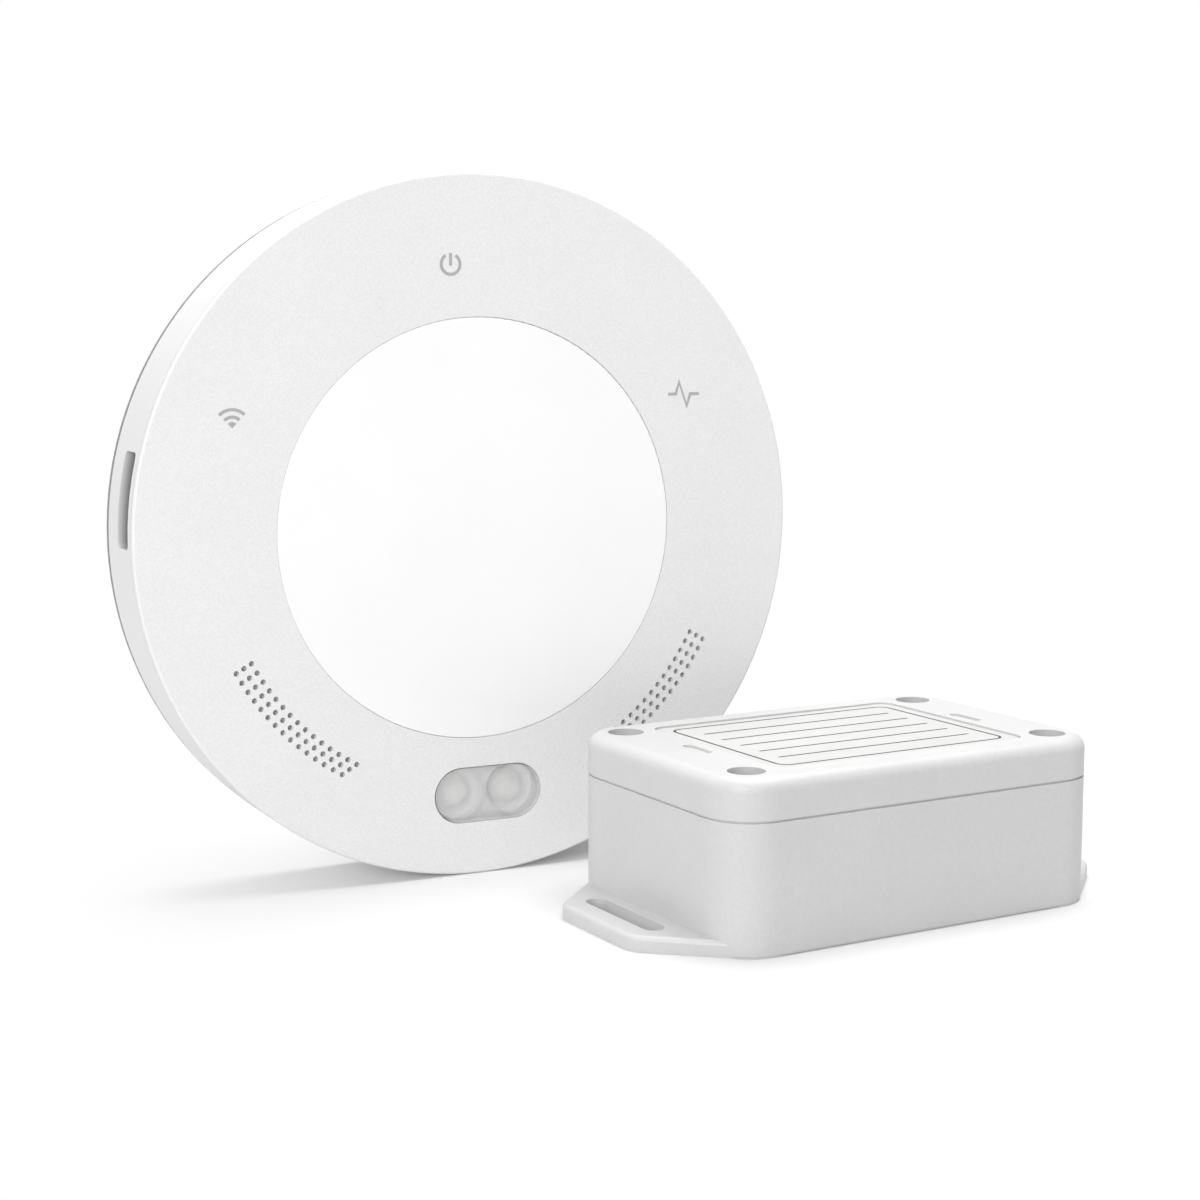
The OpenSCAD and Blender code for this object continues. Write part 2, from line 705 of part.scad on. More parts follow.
module rear_cover() {
  color(grey_cover) in_controller() difference() {
    union() {
      cylinder(r = shell_r - fit_gap, h = cover_t, $fn = 180);
      cylinder(r = rim_r - cover_lip_inset, h = wall_gap - cover_lip_gap, $fn = 180);
    }
    for (side = [-1, 1]) translate([side * keyhole_pitch / 2, 0, 0]) keyhole();
    translate([-wire_window_w / 2, wire_window_rise - wire_window_h / 2, -cut])
      cube([wire_window_w, wire_window_h, cover_t + 2 * cut]);
    translate([reset_at.x, reset_at.y, -cut]) cylinder(d = reset_d + 2 * stem_gap, h = cover_t + 2 * cut);
    for (a = boss_angles) on_face(boss_r, a) translate([0, 0, -cut]) {
      cylinder(d = case_screw_d + 2 * fit_gap, h = cover_t + 2 * cut);
      cylinder(d = head_d(case_screw_d) + 2 * fit_gap, h = case_well_depth + cut);
    }
  }
}

module case_screws() {
  color(steel) in_controller() for (a = boss_angles) on_face(boss_r, a)
    translate([0, 0, case_well_depth - head_h(case_screw_d)]) screw(case_screw_d, case_screw_l);
}

// Main board and what it carries

module main_board() {
  color(board_green) in_controller() translate([0, 0, board_z]) difference() {
    cylinder(r = board_r, h = board_t, $fn = 180);
    for (a = boss_angles) on_face(boss_r, a)
      translate([0, 0, -cut]) cylinder(d = boss_d + 2 * board_gap, h = board_t + 2 * cut);
    for (a = post_angles) on_face(post_r, a)
      translate([0, 0, -cut]) cylinder(d = board_screw_d + 2 * fit_gap, h = board_t + 2 * cut);
    // notch for the power socket
    translate([-rim_r, inlet_rise - socket_w / 2 - fit_gap, -cut])
      cube([rim_r + socket_mouth_x + socket_l + fit_gap, socket_w + 2 * fit_gap, board_t + 2 * cut]);
  }
}

module board_screws() {
  color(steel) in_controller() for (a = post_angles) on_face(post_r, a)
    translate([0, 0, board_z - head_h(board_screw_d)]) screw(board_screw_d, board_screw_l);
}

module warning_lens() {
  color(frosted, 0.7) in_controller() on_face(lamp_r, lamp_angle) difference() {
    union() {
      translate([0, 0, lens_rear_z]) linear_extrude(controller_t - lens_rear_z)
        pill_2d(lamp_l - 2 * fit_gap, lamp_w - 2 * fit_gap);
      translate([0, 0, lens_rear_z]) linear_extrude(lens_flange_t)
        pill_2d(lamp_l + 2 * lens_flange_w, lamp_w + 2 * lens_flange_w);
    }
    for (side = [-1, 1]) translate([side * lamp_pitch / 2, 0, lens_rear_z - cut])
      cylinder(r = reflector_cup_r, h = controller_t - lens_front_t - lens_rear_z + cut);
  }
}

module lamp_reflector() {
  cup_h = lens_rear_z - board_front_z;
  color(white_gloss) in_controller() on_face(lamp_r, lamp_angle)
    translate([0, 0, board_front_z]) difference() {
      linear_extrude(cup_h) pill_2d(lamp_l, lamp_w);
      for (side = [-1, 1]) translate([side * lamp_pitch / 2, 0, 0]) {
        translate([0, 0, -cut]) cylinder(r = led_collar_r + fit_gap, h = cup_h + 2 * cut);
        cylinder(r1 = led_collar_r + fit_gap, r2 = reflector_cup_r, h = cup_h);
      }
    }
}

module warning_lamps() {
  color(white_gloss) in_controller() on_face(lamp_r, lamp_angle)
    for (side = [-1, 1]) translate([side * lamp_pitch / 2, 0, board_front_z]) {
      cylinder(r = led_collar_r, h = led_collar_h);
      cylinder(d = led_d, h = led_collar_h + led_body_h);
      translate([0, 0, led_collar_h + led_body_h]) intersection() {
        sphere(d = led_d);
        cylinder(d = led_d + cut, h = led_d);
      }
    }
}

module status_leds() {
  color(white_gloss) in_controller() for (a = status_angles) on_face(status_r, a)
    translate([0, 0, board_front_z]) block(status_led_w, status_led_w, status_led_h);
}

module status_light_guides() {
  guide_low_z = board_front_z + status_led_h;
  guide_top_z = controller_t - guide_window_t - fit_gap / 2;
  color(frosted, 0.7) in_controller() for (a = status_angles) on_face(status_r, a)
    translate([0, 0, guide_low_z]) cylinder(d = guide_d, h = guide_top_z - guide_low_z);
}

// Siren on the board behind the mesh, on the right (side = 1) or left (side = -1)
module siren(side) {
  siren_h = front_in_z - fit_gap - board_front_z;
  siren_at = [side * grille_r * cos(grille_mid), grille_rise - grille_r * sin(grille_mid)];
  in_controller() translate([siren_at.x, siren_at.y, board_front_z])
    difference() {
      cylinder(d = siren_d, h = siren_h);
      translate([0, 0, siren_h - siren_port_depth]) cylinder(d = siren_port_d, h = siren_port_depth + cut);
    }
}

module siren_left() { color(black) siren(-1); }

module siren_right() { color(black) siren(1); }

module grille_meshes() {
  color(mesh_grey) in_controller() translate([0, 0, mesh_rear_z]) grille_strips(mesh_t, 0);
}

// Places a component on the rear of the main board, with its foot at z = 0 and its top pointing to the wall
module on_board_rear(at) {
  in_controller() translate([at.x, at.y, board_z]) mirror([0, 0, 1]) children();
}

module door_relay() {
  foot_h = 0.5;
  color(black) on_board_rear(relay_at) {
    translate([0, 0, foot_h]) block(relay_l, relay_w, relay_h - foot_h);
    block(relay_l - 2 * foot_h, relay_w - 2 * foot_h, foot_h);
  }
}

module terminal_block() {
  way_w = terminal_w / terminal_ways;
  mouth = way_w * 0.55;
  pocket_depth = 1.2;
  color(board_green) on_board_rear(terminal_at) difference() {
    block(terminal_w, terminal_l, terminal_h);
    for (i = [0 : terminal_ways - 1]) translate([(i - (terminal_ways - 1) / 2) * way_w, 0, 0]) {
      translate([-mouth / 2, -terminal_l / 2 - cut, terminal_h / 4])
        cube([mouth, terminal_l / 2, mouth]);
      translate([0, terminal_l / 6, terminal_h - pocket_depth]) cylinder(d = mouth, h = pocket_depth + cut);
    }
  }
}

// Socket in the board's notch, carried by two ears on the rear of the board
module power_socket() {
  back_t = 1;
  tongue_setback = 1;
  color(steel) in_controller()
    translate([socket_mouth_x, inlet_rise, inlet_z]) rotate([90, 0, 90]) {
      difference() {
        union() {
          linear_extrude(socket_l) pill_2d(socket_w, socket_h);
          translate([0, -(board_t + socket_ear_t) / 2, socket_ear_setback])
            block(socket_w + 2 * socket_ear_w, socket_ear_t, socket_ear_l);
        }
        translate([0, 0, -cut]) linear_extrude(socket_l - back_t + cut)
          pill_2d(socket_w - 2 * socket_wall, socket_h - 2 * socket_wall);
      }
      translate([0, 0, tongue_setback])
        block(socket_w - socket_h, socket_tongue_t, socket_l - tongue_setback - back_t / 2);
    }
}

module radio_module() {
  carrier_t = 0.8;
  can_inset = 1.2;
  can_l = 0.75 * radio_l;
  color(steel) on_board_rear(radio_at) {
    block(radio_w, radio_l, carrier_t);
    translate([0, (can_l - radio_l) / 2 + can_inset, 0]) block(radio_w - 2 * can_inset, can_l, radio_h);
  }
}

module antenna() {
  arm_w = 4;
  leg_w = 2;
  color(brass) on_board_rear(antenna_at) {
    translate([0, 0, antenna_h - antenna_t]) block(antenna_l, arm_w, antenna_t);
    for (x = [-antenna_l / 2, -antenna_l / 2 + 3 * leg_w]) translate([x, -arm_w / 2, 0])
      cube([leg_w, antenna_t, antenna_h]);
  }
}

module capacitors() {
  base_h = 0.8;
  color(steel) for (at = capacitors_at) on_board_rear(at) {
    cylinder(d = capacitor_d, h = capacitor_h);
    block(capacitor_d, capacitor_d, base_h);
  }
}

module reset_switch() {
  color(black) on_board_rear(reset_at) switch_body();
}

// Button in the rear cover with a collar inside and a stem that reaches into its switch
module reset_button() {
  stem_top_z = board_z - switch_h + stem_depth;
  collar_z = cover_t + reset_collar_gap;
  color(white_gloss) in_controller() translate([reset_at.x, reset_at.y, 0]) {
    translate([0, 0, reset_sink]) cylinder(d = reset_d, h = collar_z - reset_sink);
    translate([0, 0, collar_z]) cylinder(d = reset_d + 2 * reset_collar_w, h = reset_collar_t);
    translate([0, 0, collar_z]) cylinder(d = stem_d, h = stem_top_z - collar_z);
  }
}

// Sensor box

// Plan of the box, drawn in by some distance all round
module inset_plan_2d(inset) {
  round_rect_2d(box_l - 2 * inset, box_w - 2 * inset, box_r - inset);
}

// Children at the four lid screws
module at_lid_screws() {
  for (x = [-1, 1], y = [-1, 1]) translate([x * lid_screw_x, y * lid_screw_y, 0]) children();
}

// Children at the four posts under the sensor's board
module at_sensor_posts() {
  for (x = [-1, 1], y = [-1, 1]) translate([x * sensor_post_x, y * sensor_post_y, 0]) children();
}

// Flange at the right-hand end: its sides run on from the box's round corners, and its top edge is round
module flange() {
  difference() {
    hull() for (y = [-1, 1]) {
      translate([box_l / 2 - box_r, y * (box_w / 2 - box_r), 0])
        soft_disc(box_r - flange_root_inset, flange_t, flange_edge_r, $fn = 32);
      translate([flange_tip_x, y * flange_tip_y, 0]) soft_disc(flange_r, flange_t, flange_edge_r, $fn = 32);
    }
    translate([box_l / 2 + flange_slot_out, 0, -cut]) rotate(90)
      linear_extrude(flange_t + 2 * cut) pill_2d(flange_slot_l, flange_slot_w);
  }
}

module sensor_base() {
  rim_h = seam_z - seam;
  color(box_white) in_sensor() difference() {
    union() {
      difference() {
        union() {
          translate([0, 0, rim_h]) mirror([0, 0, 1]) soft_box(box_l, box_w, rim_h, box_r, base_edge_r);
          translate([0, 0, rim_h - cut]) linear_extrude(seam + cut) inset_plan_2d(seam);
          flange();
          mirror([1, 0, 0]) flange();
        }
        translate([0, 0, box_wall]) linear_extrude(box_h) inset_plan_2d(box_wall);
      }
      intersection() {
        at_lid_screws() cylinder(d = lid_boss_d, h = seam_z - tongue_h - fit_gap);
        translate([0, 0, box_wall / 2]) linear_extrude(box_h) inset_plan_2d(box_wall / 2);
      }
      at_sensor_posts() translate([0, 0, box_wall / 2])
        cylinder(d = sensor_post_d, h = sensor_post_h + box_wall / 2);
    }
    at_lid_screws() translate([0, 0, well_z - lid_screw_l - cut])
      cylinder(d = lid_screw_d + 2 * screw_gap, h = lid_screw_l + cut);
    at_sensor_posts() translate([0, 0, box_wall])
      cylinder(d = board_screw_d + 2 * screw_gap, h = sensor_post_h + cut);
  }
}

module sensor_lid() {
  color(box_white) in_sensor() difference() {
    union() {
      difference() {
        translate([0, 0, seam_z]) soft_box(box_l, box_w, lid_h, box_r, lid_edge_r);
        translate([0, 0, seam_z - cut]) linear_extrude(lid_in_z - seam_z + cut)
          inset_plan_2d(tongue_inset + tongue_t);
      }
      translate([0, 0, seam_z - tongue_h]) difference() {
        linear_extrude(tongue_h + cut) inset_plan_2d(tongue_inset);
        translate([0, 0, -cut]) linear_extrude(tongue_h + 3 * cut) inset_plan_2d(tongue_inset + tongue_t);
      }
      intersection() {
        at_lid_screws() translate([0, 0, seam_z - tongue_h])
          cylinder(d = lid_boss_d, h = lid_h + tongue_h - lid_top_t / 2);
        linear_extrude(box_h) inset_plan_2d(tongue_inset);
      }
    }
    at_lid_screws() {
      translate([0, 0, well_z]) cylinder(d = well_d, h = well_depth + cut);
      translate([0, 0, seam_z - tongue_h - cut]) cylinder(d = lid_screw_d + 2 * fit_gap, h = box_h);
    }
    translate([0, 0, box_h - label_depth]) linear_extrude(label_depth + cut)
      round_rect_2d(label_l, label_w, label_r);
    for (side = [-1, 1]) translate([side * (box_l / 2 - mark_inset), 0, box_h - label_depth]) rotate(90)
      linear_extrude(label_depth + cut) pill_2d(mark_l, mark_w);
    translate([0, 0, seam_z - cut]) linear_extrude(gasket_h + cut) gasket_2d(screw_gap);
  }
}

// Plan of the gasket, or of its groove with some air at both sides
module gasket_2d(air) {
  difference() {
    inset_plan_2d(gasket_inset - air);
    inset_plan_2d(gasket_inset + gasket_w + air);
  }
}

module lid_gasket() {
  color(mesh_grey) in_sensor() translate([0, 0, seam_z]) linear_extrude(gasket_h) gasket_2d(0);
}

module lid_screws() {
  color(steel) in_sensor() at_lid_screws()
    translate([0, 0, well_z + head_h(lid_screw_d)]) mirror([0, 0, 1]) screw(lid_screw_d, lid_screw_l);
}

// Sensor board and what it carries

module sensor_board() {
  color(board_green) in_sensor() translate([0, 0, sensor_board_z]) difference() {
    block(sensor_board_l, sensor_board_w, sensor_board_t);
    at_sensor_posts() translate([0, 0, -cut])
      cylinder(d = board_screw_d + 2 * fit_gap, h = sensor_board_t + 2 * cut);
  }
}

module sensor_board_screws() {
  tip_gap = 0.5;
  color(steel) in_sensor() at_sensor_posts()
    translate([0, 0, sensor_board_top + head_h(board_screw_d)]) mirror([0, 0, 1])
      screw(board_screw_d, sensor_post_h + sensor_board_t - tip_gap);
}

module battery_holder() {
  color(black) in_sensor() translate([0, holder_y, sensor_board_top]) difference() {
    block(holder_l, holder_w, holder_wall + holder_h);
    translate([0, 0, holder_wall]) block(holder_in_l, holder_in_w, holder_h + cut);
    for (x = [-1, 1], y = [-1, 1]) translate([x * holder_l / 2, y * holder_w / 2, -cut])
      cylinder(d = 2 * sensor_post_d, h = holder_h + holder_wall + 2 * cut);
  }
}

module battery_cells() {
  nub_d = 0.36 * cell_d;
  nub_h = 1;
  color(steel) in_sensor() for (side = [-1, 1])
    translate([-side * cell_l / 2, holder_y + side * cell_pitch / 2, cell_z]) rotate([0, side * 90, 0]) {
      cylinder(d = cell_d, h = cell_l - nub_h);
      cylinder(d = nub_d, h = cell_l);
    }
}

module battery_contacts() {
  contact_x = (holder_in_l - contact_t) / 2;
  contact_z = sensor_board_top + holder_wall;
  color(brass) in_sensor() for (end = [-1, 1], side = [-1, 1])
    translate([end * contact_x, holder_y + side * cell_pitch / 2, contact_z])
      block(contact_t, cell_d / 2, holder_h);
}

module tilt_switch() {
  color(steel) in_sensor() translate([tilt_at.x, tilt_at.y, sensor_board_top]) difference() {
    cylinder(d = tilt_d, h = tilt_h);
    translate([0, 0, tilt_wall]) cylinder(r = tilt_bore_r, h = tilt_h - 2 * tilt_wall);
  }
}

module tilt_ball() {
  color(brass) in_sensor() translate([tilt_at.x, tilt_at.y, tilt_floor_z + ball_gap + ball_d / 2])
    sphere(d = ball_d);
}

module pair_switch() {
  color(black) in_sensor() translate([pair_at.x, pair_at.y, sensor_board_top]) switch_body();
}

module pair_button() {
  color(white_gloss) in_sensor()
    translate([pair_at.x, pair_at.y, sensor_board_top + switch_h - stem_depth])
      cylinder(d = stem_d, h = stem_depth + pair_cap_h);
}

module sensor_radio() {
  color(steel) in_sensor() translate([sensor_radio_at.x, sensor_radio_at.y, sensor_board_top])
    block(sensor_radio_l, sensor_radio_w, sensor_radio_h);
}

module sensor_antenna() {
  chip_h = 1;
  color(white_gloss) in_sensor() translate([sensor_antenna_at.x, sensor_antenna_at.y, sensor_board_top])
    block(sensor_antenna_w, sensor_antenna_l, chip_h);
}

module sensor_led() {
  led_h = 1.2;
  color(white_gloss) in_sensor() translate([sensor_led_at.x, sensor_led_at.y, sensor_board_top])
    block(status_led_w, status_led_w, led_h);
}

face_ring();
centre_cap();
rear_cover();
case_screws();
main_board();
board_screws();
warning_lens();
lamp_reflector();
warning_lamps();
status_light_guides();
status_leds();
siren_left();
siren_right();
grille_meshes();
door_relay();
terminal_block();
power_socket();
radio_module();
antenna();
capacitors();
reset_switch();
reset_button();
sensor_base();
sensor_lid();
lid_gasket();
lid_screws();
sensor_board();
sensor_board_screws();
battery_holder();
battery_cells();
battery_contacts();
tilt_switch();
tilt_ball();
pair_switch();
pair_button();
sensor_radio();
sensor_antenna();
sensor_led();
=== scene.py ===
"""Dressed scene of a garage door controller with its wireless door sensor.

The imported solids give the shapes. This script gives each of them its finish, adds the signs on the face and
the sensor's label, and sets up a plain studio. Sizes in the classes are millimetres. Blender gets metres, in
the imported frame.
"""

import logging
import math
from dataclasses import dataclass, replace
from enum import Enum

import bmesh
import bpy
from mathutils import Matrix, Vector

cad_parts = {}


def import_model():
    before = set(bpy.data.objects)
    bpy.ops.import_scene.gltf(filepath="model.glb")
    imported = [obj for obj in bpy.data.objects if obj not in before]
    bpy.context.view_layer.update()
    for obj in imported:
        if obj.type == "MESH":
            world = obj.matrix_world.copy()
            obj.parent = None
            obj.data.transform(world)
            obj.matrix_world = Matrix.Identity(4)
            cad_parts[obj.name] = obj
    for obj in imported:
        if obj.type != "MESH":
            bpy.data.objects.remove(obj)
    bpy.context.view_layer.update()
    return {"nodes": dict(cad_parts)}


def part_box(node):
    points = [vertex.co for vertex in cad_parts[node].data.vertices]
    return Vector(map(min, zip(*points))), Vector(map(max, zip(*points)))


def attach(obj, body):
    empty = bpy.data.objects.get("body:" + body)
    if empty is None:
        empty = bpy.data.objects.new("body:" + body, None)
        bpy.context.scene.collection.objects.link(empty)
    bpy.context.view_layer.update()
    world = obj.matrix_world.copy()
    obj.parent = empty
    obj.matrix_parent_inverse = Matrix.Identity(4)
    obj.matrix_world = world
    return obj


LOG = logging.getLogger("garage_door_set")
MM = 0.001
PHOTO_WIDTH_PX = 1200
# turn of the sensor box seen from above, in degrees
SENSOR_TURN = 4.2
# points of a drawn shape that lie closer than this, in millimetres, are one
SAME_POINT = 1e-5
# a drawn arc has about one step for each of these degrees, and no fewer steps than this
ARC_STEP = 7.0
ARC_FEWEST_STEPS = 6
# steps in a round corner
CORNER_STEPS = 8
# angle that a wave texture of scale 1 runs through in one unit of length
WAVE_RADIANS = 20.0


class Body(Enum):
    """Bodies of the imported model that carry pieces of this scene."""

    CONTROLLER = "controller"
    SENSOR = "sensor"


class Slot(Enum):
    """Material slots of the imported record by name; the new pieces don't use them."""

    SIGN = "frosted"
    LABEL = "white_gloss"
    PRINT = "black_plastic"


def linear(code: str) -> tuple[float, float, float, float]:
    """Turns an sRGB colour into linear light.

    Args:
        code: Colour as a hex code, such as "#F2F2F0".

    Returns:
        Linear red, green and blue, and an alpha of 1.
    """
    shares = [int(code[i : i + 2], 16) / 255 for i in (1, 3, 5)]
    red, green, blue = (s / 12.92 if s <= 0.04045 else ((s + 0.055) / 1.055) ** 2.4 for s in shares)
    return red, green, blue, 1.0


def per_mm(size: float) -> float:
    """Gives the texture scale at which a pattern repeats about every size millimetres."""
    return 1 / (size * MM)


def bands_per_mm(pitch: float) -> float:
    """Gives the scale at which the bands of a wave texture lie pitch millimetres apart."""
    return 2 * math.pi / WAVE_RADIANS * per_mm(pitch)


def add_node(
    tree: bpy.types.NodeTree,
    kind: str,
    settings: dict[str | int, object] | None = None,
    links: dict[str | int, bpy.types.NodeSocket] | None = None,
) -> bpy.types.Node:
    """Adds one node with its settings and its links.

    Args:
        tree: Node tree that the node goes into.
        kind: Type name of the node.
        settings: Values by property name, or by the name or number of an input socket.
        links: Output sockets of other nodes, by the name or number of the input socket that they feed.

    Returns:
        The new node.
    """
    node = tree.nodes.new(kind)
    for key, value in (settings or {}).items():
        if isinstance(key, str) and hasattr(node, key):
            setattr(node, key, value)
        else:
            node.inputs[key].default_value = value
    for key, socket in (links or {}).items():
        tree.links.new(socket, node.inputs[key])
    return node


@dataclass(frozen=True)
class Finish:
    """A material and the way its surface was made."""

    name: str
    colour: str
    roughness: float

    def material(self) -> bpy.types.Material:
        """Gives the Blender material of this finish, which is made at its first use.

        Returns:
            The material.
        """
        known = bpy.data.materials.get(self.name)
        if known:
            return known
        made = bpy.data.materials.new(self.name)
        made.use_nodes = True
        made.node_tree.nodes.clear()
        shader = self.shade(made.node_tree)
        add_node(made.node_tree, "ShaderNodeOutputMaterial", links={"Surface": shader.outputs[0]})
        return made

    def shade(self, tree: bpy.types.NodeTree) -> bpy.types.Node:
        """Builds the nodes of the finish and returns its shader node."""
        raise NotImplementedError


@dataclass(frozen=True)
class MouldedPlastic(Finish):
    """Injection-moulded plastic: an even colour, slow clouding and the fine grain of the tool."""

    cloud_colour: str = "#FFFFFF"
    cloud_mm: float = 22.0
    # heights of the clouds' noise between which the colour and the gloss change over
    cloud_range: tuple[float, float] = (0.35, 0.65)
    gloss_range: tuple[float, float] = (0.3, 0.7)
    grain_mm: float = 0.5
    grain_depth_mm: float = 0.006
    grain_colour: str = "#D8D8D8"
    grain_share: float = 0.0
    # heights of the grain's noise at which a pit starts and at which it is darkest
    pit_range: tuple[float, float] = (0.62, 0.38)
    roughness_spread: float = 0.04
    ior: float = 1.53
    coat: float = 0.0
    coat_roughness: float = 0.08
    speck_colour: str | None = None
    speck_pitch_mm: float = 11.0
    speck_mm: float = 0.3
    # share of a speck's radius within which it is darkest, and share of the places that hold a speck
    speck_core: float = 0.4
    speck_share: float = 0.25

    def shade(self, tree: bpy.types.NodeTree) -> bpy.types.Node:
        """Builds clouding, grain and specks.

        Args:
            tree: Node tree of the material.

        Returns:
            The shader node.
        """
        where = add_node(tree, "ShaderNodeTexCoord").outputs["Object"]
        clouds = add_node(
            tree, "ShaderNodeTexNoise", {"Scale": per_mm(self.cloud_mm), "Detail": 3.0}, {"Vector": where}
        ).outputs[0]
        grain = add_node(
            tree, "ShaderNodeTexNoise", {"Scale": per_mm(self.grain_mm), "Detail": 2.0}, {"Vector": where}
        ).outputs[0]
        low, high = self.cloud_range
        settings = {"From Min": low, "From Max": high}
        share = add_node(tree, "ShaderNodeMapRange", settings, {"Value": clouds})
        colour = add_node(
            tree,
            "ShaderNodeMix",
            {"data_type": "RGBA", 6: linear(self.cloud_colour), 7: linear(self.colour)},
            {0: share.outputs[0]},
        ).outputs[2]
        colour = self.tint(tree, colour, where)
        fade = self.grain_fade(tree, where)
        if self.grain_share > 0:
            colour = self.with_grain(tree, colour, grain, fade)
        if self.speck_colour:
            colour = self.with_specks(tree, colour, where)
        low, high = self.gloss_range
        settings = {
            "From Min": low,
            "From Max": high,
            "To Min": self.roughness - self.roughness_spread,
            "To Max": self.roughness + self.roughness_spread,
        }
        rough = add_node(tree, "ShaderNodeMapRange", settings, {"Value": clouds})
        relief = {"Height": grain}
        if fade:
            relief["Strength"] = fade
        bump = add_node(tree, "ShaderNodeBump", {"Distance": self.grain_depth_mm * MM}, relief)
        return add_node(
            tree,
            "ShaderNodeBsdfPrincipled",
            {"IOR": self.ior, "Coat Weight": self.coat, "Coat Roughness": self.coat_roughness},
            {"Base Color": colour, "Roughness": rough.outputs[0], "Normal": bump.outputs[0]},
        )

    def tint(
        self, tree: bpy.types.NodeTree, colour: bpy.types.NodeSocket, where: bpy.types.NodeSocket
    ) -> bpy.types.NodeSocket:
        """Gives the colour with what changes it from place to place; plain plastic is the same all over.

        Args:
            tree: Node tree of the material.
            colour: Colour so far.
            where: Object coordinates.

        Returns:
            The changed colour.
        """
        return colour

    def grain_fade(
        self, tree: bpy.types.NodeTree, where: bpy.types.NodeSocket
    ) -> bpy.types.NodeSocket | None:
        """Gives the grain's strength from place to place, or None where it is the same all over.

        Args:
            tree: Node tree of the material.
            where: Object coordinates.

        Returns:
            A socket between 0 and 1, or None.
        """
        return None

    def with_grain(
        self,
        tree: bpy.types.NodeTree,
        colour: bpy.types.NodeSocket,
        grain: bpy.types.NodeSocket,
        fade: bpy.types.NodeSocket | None,
    ) -> bpy.types.NodeSocket:
        """Darkens the pits of the grain.

        Args:
            tree: Node tree of the material.
            colour: Colour so far.
            grain: Height of the grain.
            fade: Strength of the grain, if it changes over the surface.

        Returns:
            The colour with its grain.
        """
        start, darkest = self.pit_range
        settings = {"From Min": start, "From Max": darkest, "To Max": self.grain_share}
        pits = add_node(tree, "ShaderNodeMapRange", settings, {"Value": grain}).outputs[0]
        if fade:
            faded = add_node(tree, "ShaderNodeMath", {"operation": "MULTIPLY"}, {0: pits, 1: fade})
            pits = faded.outputs[0]
        mix = {"data_type": "RGBA", 7: linear(self.grain_colour)}
        return add_node(tree, "ShaderNodeMix", mix, {0: pits, 6: colour}).outputs[2]

    def with_specks(
        self, tree: bpy.types.NodeTree, colour: bpy.types.NodeSocket, where: bpy.types.NodeSocket
    ) -> bpy.types.NodeSocket:
        """Adds a few small specks, as handling leaves on a pale box.

        Args:
            tree: Node tree of the material.
            colour: Colour so far.
            where: Object coordinates.

        Returns:
            The colour with its specks.
        """
        cells = add_node(
            tree, "ShaderNodeTexVoronoi", {"Scale": per_mm(self.speck_pitch_mm)}, {"Vector": where}
        )
        radius = self.speck_mm / self.speck_pitch_mm
        settings = {"From Min": radius, "From Max": radius * self.speck_core}
        spot = add_node(tree, "ShaderNodeMapRange", settings, {"Value": cells.outputs["Distance"]})
        draw = add_node(tree, "ShaderNodeSeparateColor", links={0: cells.outputs["Color"]})
        picked = add_node(
            tree, "ShaderNodeMath", {"operation": "LESS_THAN", 1: self.speck_share}, {0: draw.outputs[0]}
        )
        amount = add_node(
            tree, "ShaderNodeMath", {"operation": "MULTIPLY"}, {0: spot.outputs[0], 1: picked.outputs[0]}
        )
        mix = {"data_type": "RGBA", 7: linear(self.speck_colour)}
        return add_node(tree, "ShaderNodeMix", mix, {0: amount.outputs[0], 6: colour}).outputs[2]


